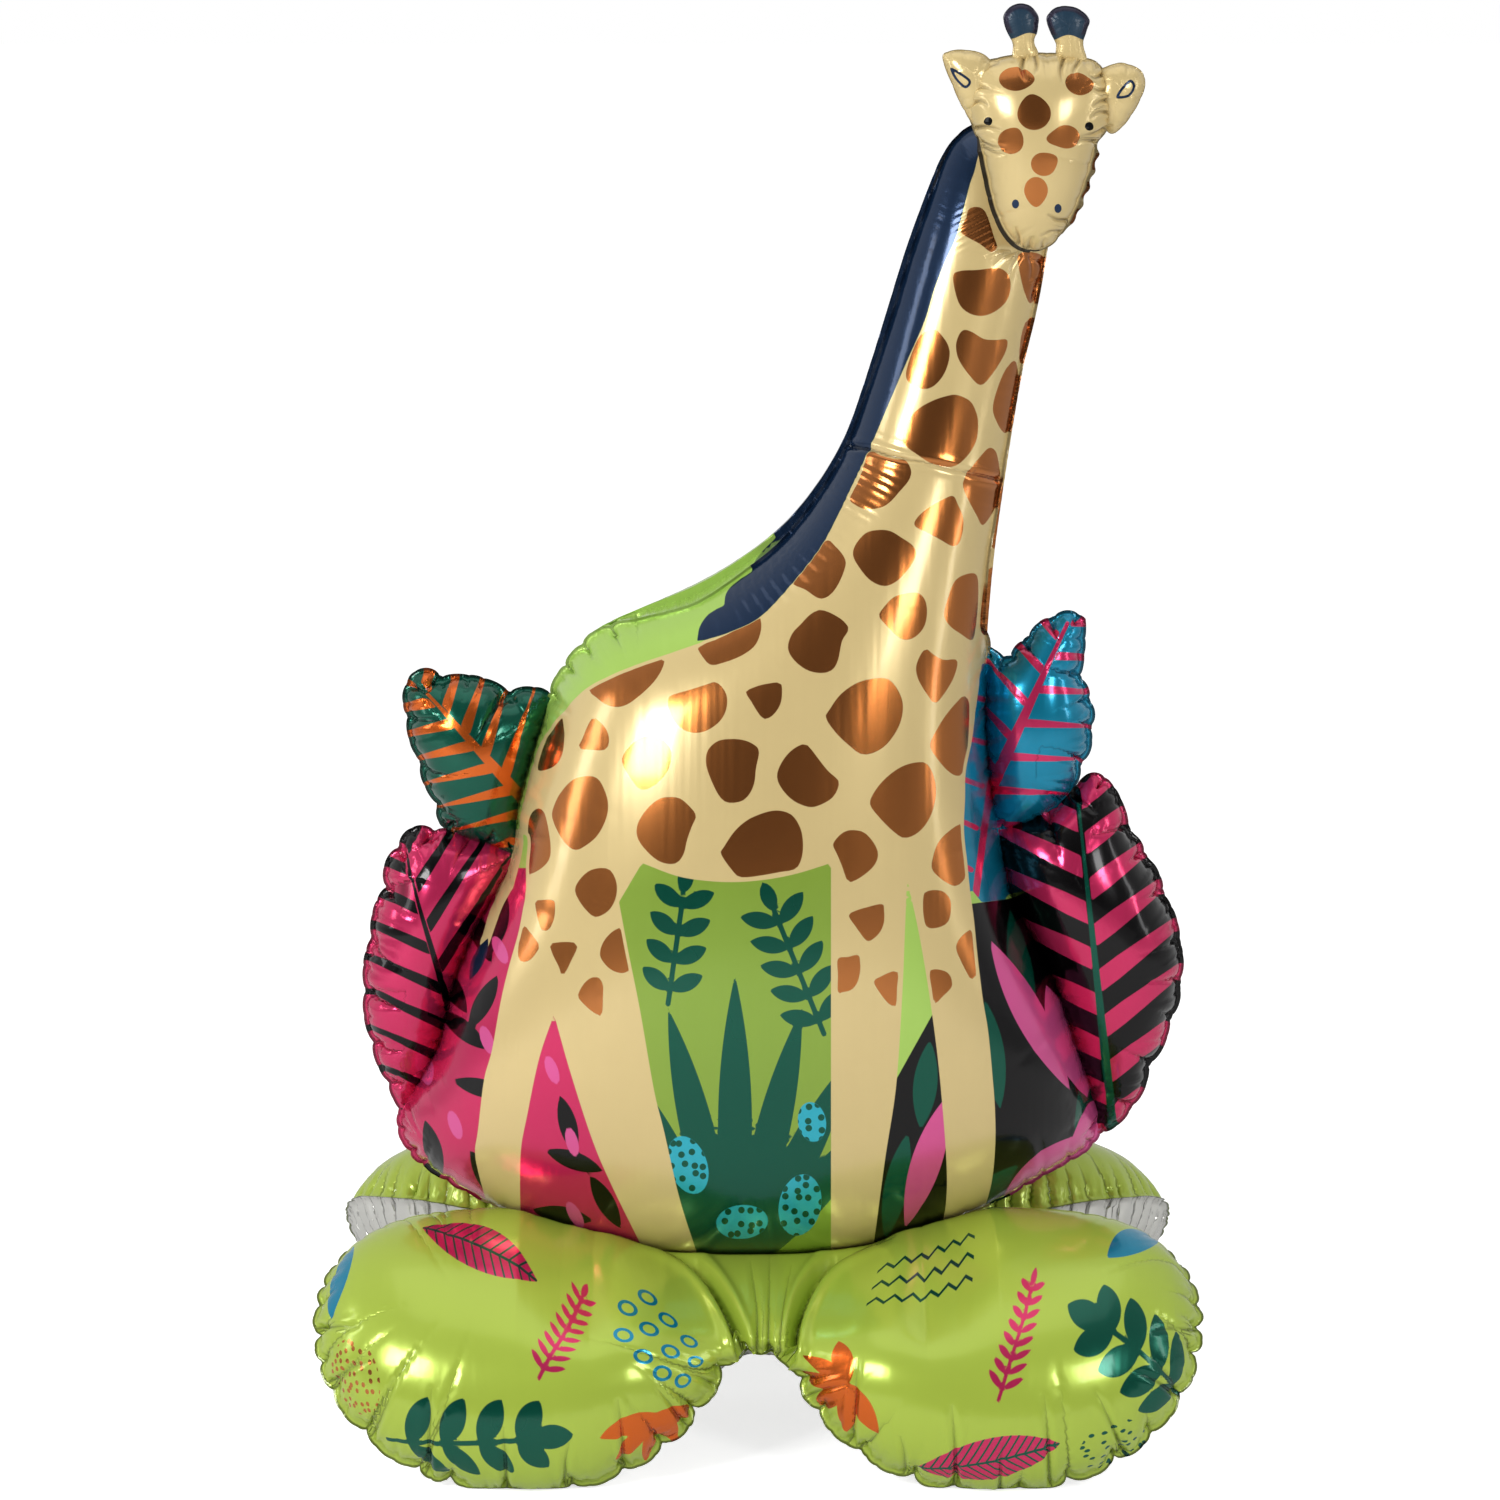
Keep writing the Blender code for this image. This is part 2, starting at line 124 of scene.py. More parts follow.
def scallops(notches, bulges, pieces=14):
    line = []
    for a, b, bulge in zip(notches[:-1], notches[1:], bulges):
        a, b = np.array(a, float), np.array(b, float)
        out = np.array([b[1] - a[1], a[0] - b[0]]) / max(np.linalg.norm(b - a), 1e-9)
        for t in np.linspace(0, 1, pieces, endpoint=False):
            line.append(a + (b - a) * t + out * bulge * (4 * t * (1 - t)) ** 0.8)
    line.append(np.array(notches[-1], float))
    return np.array(line)


def turned_right(ring):
    x, y = ring.T
    return ring if np.sum(x * np.roll(y, -1) - np.roll(x, -1) * y) > 0 else ring[::-1].copy()


def outward(ring, spread=2):
    """Unit normals of an anticlockwise ring, pointing out."""
    run = np.roll(ring, -spread, axis=0) - np.roll(ring, spread, axis=0)
    n = np.stack([run[:, 1], -run[:, 0]], 1)
    return n / np.maximum(np.linalg.norm(n, axis=1), 1e-12)[:, None]


def drawn_in(ring, by):
    """The ring moved inwards: the weld runs inside the cut edge."""
    n = outward(ring, 3)
    return ring - n * np.asarray(by).reshape(-1, 1)


RIGHT_SIDE = [
    (800, 1249), (860, 1243), (900, 1235), (950, 1216), (1000, 1195), (1050, 1167), (1085, 1146), (1097, 1124),
    (1090, 1088), (1076, 1045), (1058, 990), (1036, 944), (1014, 902), (1001, 850), (991, 790), (986, 730),
    (986, 680), (989, 640), (996, 560), (1004, 500), (1013, 440), (1025, 370), (1038, 312), (1047, 262),
    (1053, 210), (1050, 165), (1030, 133),
]
LEFT_SIDE = [
    (700, 1249), (620, 1243), (560, 1229), (500, 1204), (450, 1178), (415, 1152), (402, 1118), (424, 1074),
    (440, 1040), (449, 1000), (462, 958), (484, 912), (505, 876), (515, 846), (518, 808), (529, 764),
    (543, 722), (556, 684), (575, 650), (600, 624), (645, 603), (695, 584), (740, 557), (778, 528),
    (812, 488), (842, 438), (864, 376), (884, 312), (903, 250), (924, 192), (942, 150), (962, 129),
]
NECK_TOP = (996, 121)
LEAVES = {
    "leaf_left_upper": (
        [(551, 694), (509, 692), (441, 677), (407, 680), (406, 714), (419, 760), (437, 803), (442, 826), (478, 844), (514, 856)],
        [5, 7, 9, 4, 4, 5, 3, 3, 1],
    ),
    "leaf_left_lower": (
        [(514, 853), (472, 838), (434, 831), (398, 846), (385, 886), (371, 936), (364, 988), (371, 1040), (386, 1080), (402, 1112)],
        [3, 4, 11, 7, 5, 4, 4, 3, 2],
    ),
    "leaf_right_upper": (
        [(988, 644), (1014, 657), (1032, 637), (1057, 617), (1086, 619), (1082, 680), (1091, 703), (1091, 730), (1081, 766), (1060, 807), (1000, 834)],
        [-3, 4, 5, 6, 1, 3, 4, 5, 5, 3],
    ),
    "leaf_right_lower": (
        [(1000, 830), (1058, 806), (1080, 786), (1112, 784), (1131, 832), (1148, 858), (1165, 896), (1181, 945), (1180, 985), (1170, 1020), (1149, 1066), (1130, 1110), (1099, 1134)],
        [2, 2, 11, 3, 3, 4, 4, 3, 4, 5, 5, 4],
    ),
}
FACE_ROWS = [
    (60, 990, 1092), (75, 975, 1105), (95, 968, 1112), (115, 969, 1112), (131, 974, 1106), (145, 980, 1096),
    (166, 985, 1091), (190, 990, 1083), (212, 996, 1074), (231, 1005, 1063), (245, 1017, 1051),
]
FACE_TOP, FACE_CHIN = (1043, 53), (1034, 251)
EARS = {
    "ear_left": [(986, 56), (966, 50), (947, 52), (943, 60), (952, 84), (963, 108), (976, 124), (990, 100), (998, 74)],
    "ear_right": [(1098, 74), (1106, 67), (1122, 63), (1140, 70), (1145, 84), (1138, 104), (1122, 127), (1108, 132), (1094, 104)],
}
HORNS = {
    "horn_left": [(1014, 62), (1013, 44), (1006, 29), (1004, 15), (1014, 5), (1028, 5), (1038, 16), (1037, 32), (1034, 42), (1040, 62)],
    "horn_right": [(1058, 64), (1056, 44), (1050, 31), (1047, 17), (1058, 7), (1076, 8), (1089, 19), (1086, 32), (1083, 44), (1086, 66)],
}


# ---------------------------------------------------------------- flat sheets to swollen ones

def inside(points, ring):
    hit = np.zeros(len(points), bool)
    for (x0, y0), (x1, y1) in zip(ring, np.roll(ring, -1, axis=0)):
        if y1 != y0:
            crosses = (y0 > points[:, 1]) != (y1 > points[:, 1])
            hit ^= crosses & (points[:, 0] < (x1 - x0) * (points[:, 1] - y0) / (y1 - y0) + x0)
    return hit


def nearest(ring, points):
    """Index of the nearest ring point, and the distance, for each point."""
    tree = KDTree(len(ring))
    for i, (x, y) in enumerate(ring):
        tree.insert((x, y, 0), i)
    tree.balance()
    index, far = np.empty(len(points), int), np.empty(len(points))
    for k, (x, y) in enumerate(points.tolist()):
        _, index[k], far[k] = tree.find((x, y, 0))
    return index, far


def tile(ring, step, coarse=None):
    """Triangles over the inside of the ring, the ring's own points first, twice as wide where coarse(points, far) says."""
    low, high = ring.min(0), ring.max(0)
    rows = []
    for i, y in enumerate(np.arange(low[1] + step * 0.37, high[1], step * 0.866)):
        xs = np.arange(low[0] + (i % 2) * step / 2, high[0], step)
        rows.append(np.stack([xs, np.full(len(xs), y), ((np.arange(len(xs)) + i // 2) % 2 == 0) & (i % 2 == 0)], axis=1))
    grid = np.vstack(rows)
    grid = grid[inside(grid, ring[:: max(1, len(ring) // 600)])]
    _, far = nearest(ring, grid[:, :2])
    take = far > 0.60 * step
    if coarse is not None:
        take &= (grid[:, 2] > 0) | ~coarse(grid[:, :2], far)
    grid = grid[take, :2]
    grid = grid[inside(grid, ring)]
    points = np.vstack([ring, grid])
    n = len(ring)
    found = delaunay_2d_cdt([Vector(p) for p in points], [(i, (i + 1) % n) for i in range(n)], [list(range(n))], 1, 1e-8)
    first = np.array([ids[0] for ids in found[3]])
    tris = first[np.array(found[2])]
    a, b, c = points[tris[:, 0]], points[tris[:, 1]], points[tris[:, 2]]
    area = (b[:, 0] - a[:, 0]) * (c[:, 1] - a[:, 1]) - (b[:, 1] - a[:, 1]) * (c[:, 0] - a[:, 0])
    tris[area < 0] = tris[area < 0][:, ::-1]
    return points, tris[np.abs(area) > 1e-13]


def edges_of(tris, count):
    e = np.vstack([tris[:, [0, 1]], tris[:, [1, 2]], tris[:, [2, 0]]])
    e.sort(axis=1)
    key, index = np.unique(e[:, 0] * count + e[:, 1], return_inverse=True)
    return key // count, key % count, index.reshape(3, -1)


def in_four(points, tris, n, ring, values=None):
    """Each triangle cut in four; ring holds the edge's 2n points."""
    count = len(points)
    a, b, index = edges_of(tris, count)
    rim = (b < n) & ((b - a == 1) | ((a == 0) & (b == n - 1)))
    before = np.where(b - a == 1, a, b)
    middle = np.empty(len(a), int)
    middle[rim] = 2 * before[rim] + 1
    middle[~rim] = n + count + np.arange((~rim).sum())
    moved = np.concatenate([2 * np.arange(n), 2 * n + np.arange(count - n)])
    new = np.vstack([ring, points[n:], (points[a[~rim]] + points[b[~rim]]) / 2])
    t, m = moved[tris], middle[index]
    cut = np.vstack([
        np.stack([t[:, 0], m[0], m[2]], 1), np.stack([m[0], t[:, 1], m[1]], 1),
        np.stack([m[2], m[1], t[:, 2]], 1), np.stack([m[0], m[1], m[2]], 1),
    ])
    if values is not None:
        values = np.concatenate([np.zeros(2 * n), values[n:], (values[a[~rim]] + values[b[~rim]]) / 2])
    return new, cut, values


def swell(points, tris, ring_count, guess=None, tolerance=2e-5):
    """Solves laplace(u) = -2 with u = 0 on the ring. Gives (width, share, out): the half width of the tube that a
    point is on, how far it is from the tube's middle to its edge, and the way out."""
    count = len(points)
    corner = [points[tris[:, k]] for k in range(3)]
    area2 = (corner[1][:, 0] - corner[0][:, 0]) * (corner[2][:, 1] - corner[0][:, 1]) - (corner[1][:, 1] - corner[0][:, 1]) * (corner[2][:, 0] - corner[0][:, 0])
    area2 = np.maximum(area2, 1e-13)
    a, b, index = edges_of(tris, count)
    weight = np.zeros(len(a))
    for k, opposite in enumerate((2, 0, 1)):
        p, q, r = corner[k], corner[(k + 1) % 3], corner[opposite]
        cot = ((p - r) * (q - r)).sum(1) / area2
        weight += np.bincount(index[k], 0.5 * cot, len(a))
    free = np.ones(count)
    free[:ring_count] = 0
    load = np.bincount(tris.ravel(), np.repeat(area2 / 6, 3) * 2, count) * free
    diagonal = np.bincount(a, weight, count) + np.bincount(b, weight, count)
    diagonal[diagonal <= 0] = 1

    def stiff(x):
        flow = weight * (x[a] - x[b])
        return (np.bincount(a, flow, count) - np.bincount(b, flow, count)) * free

    u = np.zeros(count) if guess is None else guess * free
    r = load - stiff(u)
    z = r / diagonal * free
    p = z.copy()
    rz = r @ z
    for _ in range(3000):
        ap = stiff(p)
        step = rz / (p @ ap)
        u += step * p
        r -= step * ap
        if np.linalg.norm(r) < tolerance * np.linalg.norm(load):
            break
        z = r / diagonal
        new = r @ z
        p = z + (new / rz) * p
        rz = new
    gx = np.stack([corner[1][:, 1] - corner[2][:, 1], corner[2][:, 1] - corner[0][:, 1], corner[0][:, 1] - corner[1][:, 1]], 1) / area2[:, None]
    gy = np.stack([corner[2][:, 0] - corner[1][:, 0], corner[0][:, 0] - corner[2][:, 0], corner[1][:, 0] - corner[0][:, 0]], 1) / area2[:, None]
    whole = np.bincount(tris.ravel(), np.repeat(area2, 3), count)
    slope = np.stack([np.bincount(tris.ravel(), np.repeat((g * u[tris]).sum(1) * area2, 3), count) / whole for g in (gx, gy)], 1)
    steep = np.linalg.norm(slope, axis=1)
    width = np.sqrt(np.maximum(u, 0) + steep**2 / 4) + 1e-9
    share = np.clip(steep / (2 * width), 0, 1)
    share[:ring_count] = 1
    out = -slope / np.maximum(steep, 1e-9)[:, None]
    out[:ring_count] = outward(points[:ring_count], 2)
    return u, width, share, out


def sheet_of(ring, step, fine, coarse=None):
    """One flat sheet inside the ring (an even number of points), solved: a dict of its arrays."""
    n = len(ring)
    if fine:
        points, tris = tile(ring[::2].copy(), step, coarse)
        u = swell(points, tris, n // 2, tolerance=1e-4)[0]
        points, tris, u = in_four(points, tris, n // 2, ring, u)
        u, width, share, out = swell(points, tris, n, u, tolerance=5e-6)
    else:
        points, tris = tile(ring, step, coarse)
        u, width, share, out = swell(points, tris, n)
    index, far = nearest(ring, points)
    far[:n] = 0
    length = np.linalg.norm(np.roll(ring, -1, axis=0) - ring, axis=1).sum()
    return dict(points=points, tris=tris, n=n, width=width, share=share, out=out, along=index * (length / n), far=far, length=length)


# ---------------------------------------------------------------- puckers

def hashed(i, seed):
    """A repeatable number from 0 to 1 for each whole number i."""
    x = np.sin(np.asarray(i, float) * 12.9898 + seed * 78.233) * 43758.5453
    return x - np.floor(x)


def places(length, pitches, seed, jitter=0.4):
    """Positions round a ring, as far apart as pitches says at each of its points."""
    count = np.concatenate([[0], np.cumsum(length / len(pitches) / pitches)])
    i = np.arange(round(count[-1]))
    at = (i + 0.5 + jitter * (hashed(i, seed) - 0.5)) * count[-1] / len(i)
    return np.interp(at, count, np.linspace(0, length, len(count)))


def no_folds(count):
    return np.stack([np.full(count, 20.0), np.zeros(count)])


def nearer(a, b):
    """The nearer of two sets of sharp folds, each a signed distance in millimetres and a firmness from 0 to 1."""
    return np.where((np.abs(b[0]) < np.abs(a[0])) & (b[1] > 0.02), b, a)


class Creases:
    """Places round a seam where the film folds in, with a strength and a reach for each."""

    def __init__(self, length, pitch, seed, jitter=0.55, at=None, gain=None):
        if at is None:
            count = max(4, round(length / pitch))
            i = np.arange(count)
            at = (i + jitter * (hashed(i, seed) - 0.5)) * length / count
        self.length = length
        self.at = np.sort(np.asarray(at) % length)
        i = np.arange(len(self.at))
        self.strength = 0.45 + 0.75 * hashed(i, seed + 1)
        self.reach = 0.35 + 1.3 * hashed(i, seed + 2) ** 2.2
        self.slant = (hashed(i, seed + 3) - 0.5) * 0.35
        if gain is not None:
            self.strength = self.strength * gain(self.at)

    def fields(self, along, far):
        """The creases on each side of each point: their indices, how far the point is from each, and where it lies
        between them, from 0 to 1.
        """
        k = np.searchsorted(self.at, along) % len(self.at)
        j = (k - 1) % len(self.at)
        left = (along - self.at[j]) % self.length
        right = (self.at[k] - along) % self.length
        x = left / np.maximum(left + right, 1e-9)
        return j, k, left, right, x

    def depth(self, along, far, lobe_fade, line_width, line_reach, crisp=0.0):
        """Depth of the lobes and of the lines, the seam's own arch, and the sharp folds."""
        j, k, left, right, x = self.fields(along, far)
        gap = left + right
        arch = 1 - np.sqrt(np.clip(4 * x * (1 - x), 0, 1))
        strength = self.strength[j] * (1 - x) + self.strength[k] * x
        lobes = strength * arch * np.exp(-far / (lobe_fade * gap))
        lines = 0
        folds = no_folds(len(far))
        for i, off, sign in ((j, left, 1), (k, right, -1)):
            reach = line_reach * self.reach[i]
            wide = line_width * (1 + 0.5 * far / reach)
            off = sign * off - self.slant[i] * far
            lines = lines + self.strength[i] * np.exp(-((np.abs(off) / wide) ** 1.3)) * np.clip(1 - far / reach, 0, 1) ** 0.8
            if crisp:
                folds = nearer(folds, np.stack([1000 * off, np.clip(self.strength[i] * 1.8 * (1 - far / (crisp * reach)), 0, 1)]))
        return lobes, lines, strength * arch, folds


def near_weights(ring, values, points, power=4):
    """Values given round the ring, spread smoothly over the sheet."""
    pick = np.linspace(0, len(ring) - 1, 160).astype(int)
    total, weight = np.zeros(len(points)), np.zeros(len(points))
    for i in pick:
        w = 1 / (((points - ring[i]) ** 2).sum(1) + 1e-5) ** (power / 2)
        total += w * values[i]
        weight += w
    return total / weight


def pucker(sheet, levels, scale=None):
    """How far in the film lies at each point (metres), how far the seam is drawn in there, and the sharp folds."""
    along, far, share = sheet["along"], sheet["far"], sheet["share"]
    depth, drawn_back, folds = np.zeros(len(far)), np.zeros(len(far)), no_folds(len(far))
    free = np.clip(share / 0.45, 0, 1)
    free = free * free * (3 - 2 * free)
    for creases, deep, lobe_fade, line_width, line_reach, line_deep, edge, crisp in levels:
        lobes, lines, arch, this = creases.depth(along, far, lobe_fade, line_width, line_reach, crisp)
        folds = nearer(folds, this)
        depth += deep * lobes + line_deep * lines
        drawn_back += edge * (arch - 0.35) * np.exp(-far / 0.009)
    depth *= (1 - np.exp(-far / 0.0030)) * free
    if scale is not None:
        depth *= scale
        drawn_back *= scale
        folds[1] *= np.clip(scale, 0, 1)
    return depth, drawn_back, folds


def pressed(u, v, lines):
    """Folds along drawn lines, as a depth in metres. Each line is (points, half width, depth in mm); it is deepest at
    its first point and fades to its last, with a low lip on both sides. Also gives them as sharp folds."""
    depth, folds = np.zeros(len(u)), no_folds(len(u))
    p = np.stack([u, v], 1)
    for points, half, deep in lines:
        line = evenly(smooth_line(points), 60, closed=False)
        near = np.flatnonzero((p > line.min(0) - 7 * half).all(1) & (p < line.max(0) + 7 * half).all(1))
        if len(near):
            index, off = nearest(line, p[near])
            fade = np.clip(1.15 * (1 - index / 60), 0, 1) ** 0.7
            depth[near] += deep / 1000 * fade * (np.exp(-((off / half) ** 2)) - 0.30 * np.exp(-(((off - 2.5 * half) / (1.1 * half)) ** 2)))
            run = np.gradient(line, axis=0)[index]
            away = p[near] - line[index]
            this = np.sign(run[:, 0] * away[:, 1] - run[:, 1] * away[:, 0]) * off
            folds[:, near] = nearer(folds[:, near], np.stack([this, fade * min(1, deep / 2.5)]))
    return depth, folds


# ---------------------------------------------------------------- meshes

def vertex_normals(points, tris):
    a, b, c = points[tris[:, 0]], points[tris[:, 1]], points[tris[:, 2]]
    face = np.cross(b - a, c - a)
    n = np.stack([np.bincount(tris.ravel(), np.repeat(face[:, k], 3), len(points)) for k in range(3)], 1)
    return n / np.maximum(np.linalg.norm(n, axis=1), 1e-15)[:, None]


def build_object(name, points, tris, values):
    mesh = bpy.data.meshes.new(name)
    mesh.vertices.add(len(points))
    mesh.vertices.foreach_set("co", points.astype(np.float32).ravel())
    mesh.loops.add(len(tris) * 3)
    mesh.loops.foreach_set("vertex_index", tris.astype(np.int32).ravel())
    mesh.polygons.add(len(tris))
    mesh.polygons.foreach_set("loop_start", np.arange(0, len(tris) * 3, 3, dtype=np.int32))
    mesh.update(calc_edges=True)
    mesh.validate()
    mesh.shade_smooth()
    mesh.set_sharp_from_angle(angle=math.radians(62))
    for key, value in values.items():
        mesh.attributes.new(key, "FLOAT", "POINT").data.foreach_set("value", value.astype(np.float32))
    obj = bpy.data.objects.new(name, mesh)
    bpy.context.scene.collection.objects.link(obj)
    return obj


def envelope(name, ring, step, place, levels, prints, back_step=None, shift=None, factors=(1.0, 1.0), full=FULL_DEPTH,
             flange=FLANGE, extra=None, scale=None, coarse=None, thin=None, after=None):
    """Builds one sealed envelope. ring is its weld in the flat; place(flat, off, side) puts flat points that stand off
    the seam surface by off into space, side -1 for the front or outer sheet. levels(creases length) gives the pucker
    levels, prints(u, v, flat, side) the printed layers, shift(ring) the angle by which the seam is turned to the front."""
    ring = turned_right(ring)
    if len(ring) % 2:
        ring = evenly(ring, len(ring) + 1)
    n = len(ring)
    turn_ring = shift(ring) if shift else np.zeros(n)
    built = []
    crease_levels = levels(np.linalg.norm(np.roll(ring, -1, axis=0) - ring, axis=1).sum(), ring)
    for side in (-1, 1):
        fine = side < 0 or back_step is None
        sheet = sheet_of(ring, step if fine else back_step, fine, None if coarse is None else lambda p, far: coarse(p, far, side))
        points, width, share, out = (sheet[k] for k in ("points", "width", "share", "out"))
        turn = near_weights(ring, turn_ring, points) if shift else np.zeros(len(points))
        turn[:n] = turn_ring
        psi = share * (math.pi / 2 + side * turn)
        flat = points + out * (width * np.sin(psi) - width * share)[:, None]
        off = width * np.cos(psi)
        flatter = np.clip((off - 0.06) / 0.16, 0, 1)
        off = off * (1 - (1 - full) * flatter * flatter * (3 - 2 * flatter)) * factors[0 if side < 0 else 1]
        if not shift:
            off[:n] = 0
        if thin is not None:
            off = off * thin(points)
        smooth = place(flat, np.where(np.arange(len(off)) < n, off + 0.0003, np.maximum(off, 0.0004)), side)
        tris = sheet["tris"] if side < 0 else sheet["tris"][:, ::-1]
        normal = vertex_normals(smooth, tris)
        depth, back, folds = pucker(sheet, crease_levels, None if scale is None else scale(smooth, points))
        if extra is not None:
            more, drawn_folds = extra(smooth, sheet, side)
            depth = depth + more
            folds = nearer(folds, drawn_folds)
        sheet["fold"] = np.clip(folds[0], -20, 20)
        sheet["firm"] = folds[1] * np.clip((6 - np.abs(folds[0])) / 2, 0, 1)
        # the seam itself moves with the edge: work out the way out in space
        ahead = place(flat + out * 0.001, off, side) - place(flat, off, side)
        ahead /= np.maximum(np.linalg.norm(ahead, axis=1), 1e-12)[:, None]
        moved = smooth - normal * np.where(np.arange(len(off)) < n, 0, depth)[:, None] - ahead * back[:, None]
        built.append((sheet, smooth, moved, tris, flat, ahead))
    (front, front_smooth, front_moved, front_tris, front_flat, front_ahead), (back, back_smooth, back_moved, back_tris, back_flat, _) = built
    # both sheets share the weld
    weld = (front_moved[:n] + back_moved[:n]) / 2
    lift = front_smooth[:n] - back_smooth[:n]
    lift *= 0.0003 / np.maximum(np.linalg.norm(lift, axis=1), 1e-9)[:, None]
    front_moved[:n], back_moved[:n] = weld + lift, weld - lift
    run = np.roll(weld, -1, axis=0) - np.roll(weld, 1, axis=0)
    run /= np.linalg.norm(run, axis=1)[:, None]
    radial = front_ahead[:n].copy()
    if shift:
        turned = place(front_flat[:n] + front["out"][:n] * (0.001 * np.cos(turn_ring))[:, None], built[0][0]["width"][:n] * np.sin(turn_ring) + 0.001 * np.sin(turn_ring), -1) \
            - place(front_flat[:n], built[0][0]["width"][:n] * np.sin(turn_ring), -1)
        radial = turned / np.maximum(np.linalg.norm(turned, axis=1), 1e-12)[:, None]
    wave = 0.07 * np.sin(np.arange(n) * 0.23 + 3 * np.sin(np.arange(n) * 0.05))
    radial = radial + np.cross(radial, run) * wave[:, None]
    margin = flange(ring) if callable(flange) else np.full(n, flange)
    edge = weld + radial * margin[:, None]
    nf, nb = len(front_moved), len(back_moved)
    i = np.arange(n)
    j = (i + 1) % n
    o = nf + nb
    strips = np.vstack([
        np.stack([i, o + i, o + j], 1), np.stack([i, o + j, j], 1),
        np.stack([nf + i, nf + j, o + j], 1), np.stack([nf + i, o + j, o + i], 1),
    ])
    points = np.vstack([front_moved, back_moved, edge])
    tris = np.vstack([front_tris, back_tris + nf, strips])
    if after is not None:
        points = after(points)
    smooth = np.vstack([front_smooth, back_smooth, (front_smooth[:n] + back_smooth[:n]) / 2])
    u, v = drawn(smooth)
    flats = np.vstack([front["points"], back["points"], ring])
    sides = np.concatenate([np.full(nf, -1.0), np.full(nb, 1.0), np.zeros(n)])
    seam = np.concatenate([front["far"], back["far"], np.full(n, -0.004)])
    along = np.concatenate([front["along"], back["along"], np.arange(n) * front["length"] / n])
    values = prints(u, v, flats, sides)
    fold = np.concatenate([front["fold"], back["fold"], np.full(n, 20.0)])
    firm = np.concatenate([front["firm"], back["firm"], np.zeros(n)])
    values = {"flat_x": u, "flat_y": v, **values, "seam": seam * 1000, "along": along * 1000, "fold": fold, "firm": firm}
    obj = build_object(name, points, tris, values)
    print(name, len(points), "points", len(tris), "faces")
    closing = np.vstack([np.stack([i, nf + i, nf + j], 1), np.stack([i, nf + j, j], 1)])
    return obj, (np.vstack([front_smooth, back_smooth]), np.vstack([front_tris, back_tris + nf, closing]))


def upright(y0, limit=None):
    def place(flat, off, side):
        y = y0 + side * off
        if side > 0 and limit is not None:
            reach = limit(flat)
            gap = reach - y
            y = np.where(gap < 0.004, reach - 0.004 * np.exp(np.minimum(gap, 0.004) / 0.004 - 1), y)
        return np.stack([flat[:, 0], y, flat[:, 1]], 1)
    return place


# ---------------------------------------------------------------- printed shapes, as signed distances

FAR = 14.0


def poly(u, v, ring):
    """Signed distance from a closed polygon, negative inside, in drawn units, cut off at FAR."""
    ring = np.asarray(ring, float)
    low, high = ring.min(0) - FAR, ring.max(0) + FAR
    near = np.flatnonzero((u > low[0]) & (u < high[0]) & (v > low[1]) & (v < high[1]))
    result = np.full(len(u), FAR)
    if not len(near):
        return result
    p = np.stack([u[near], v[near]], 1)
    best = np.full(len(p), 1e9)
    for a, b in zip(ring, np.roll(ring, -1, axis=0)):
        d = b - a
        t = np.clip(((p - a) @ d) / max(d @ d, 1e-12), 0, 1)
        q = p - a - t[:, None] * d
        best = np.minimum(best, (q * q).sum(1))
    best = np.sqrt(best)
    result[near] = np.clip(np.where(inside(p, ring), -best, best), -FAR, FAR)
    return result


def blob(u, v, cx, cy, rx, ry, tilt=0.0, point=0.0, sharp=0.0, square=0.0):
    """Rounded patch: an ellipse drawn out to a soft corner at the angle point (degrees, up is 90)."""
    c, s = math.cos(math.radians(tilt)), math.sin(math.radians(tilt))
    x, y = u - cx, cy - v
    x, y = (x * c + y * s) / rx, (-x * s + y * c) / ry
    r = np.hypot(x, y)
    angle = np.arctan2(y, x) - math.radians(point - tilt)
    angle = (angle + math.pi) % (2 * math.pi) - math.pi
    edge = 1 + sharp * np.exp(-((angle / 0.42) ** 2)) - 0.35 * sharp * np.exp(-(((np.abs(angle) - 1.0) / 0.5) ** 2))
    edge = edge + square * 0.5 * (np.cos(4 * angle) - 1) * -0.16
    return np.clip((r - edge) * min(rx, ry), -FAR, FAR)


def lens_leaf(x, y, x0, y0, angle, length, half):
    """Pointed leaf from (x0, y0) along angle (degrees), as two arcs."""
    c, s = math.cos(math.radians(angle)), math.sin(math.radians(angle))
    a = (x - x0) * c + (y - y0) * s - length / 2
    b = np.abs(-(x - x0) * s + (y - y0) * c)
    big = ((length / 2) ** 2 + half**2) / (2 * half)
    return np.clip(np.hypot(a, b + big - half) - big, -FAR, FAR)


def bar(x, y, x0, y0, x1, y1, half):
    d = np.array([x1 - x0, y1 - y0])
    t = np.clip(((x - x0) * d[0] + (y - y0) * d[1]) / (d @ d), 0, 1)
    return np.clip(np.hypot(x - x0 - t * d[0], y - y0 - t * d[1]) - half, -FAR, FAR)


def least(*shapes):
    result = shapes[0]
    for s in shapes[1:]:
        result = np.minimum(result, s)
    return result


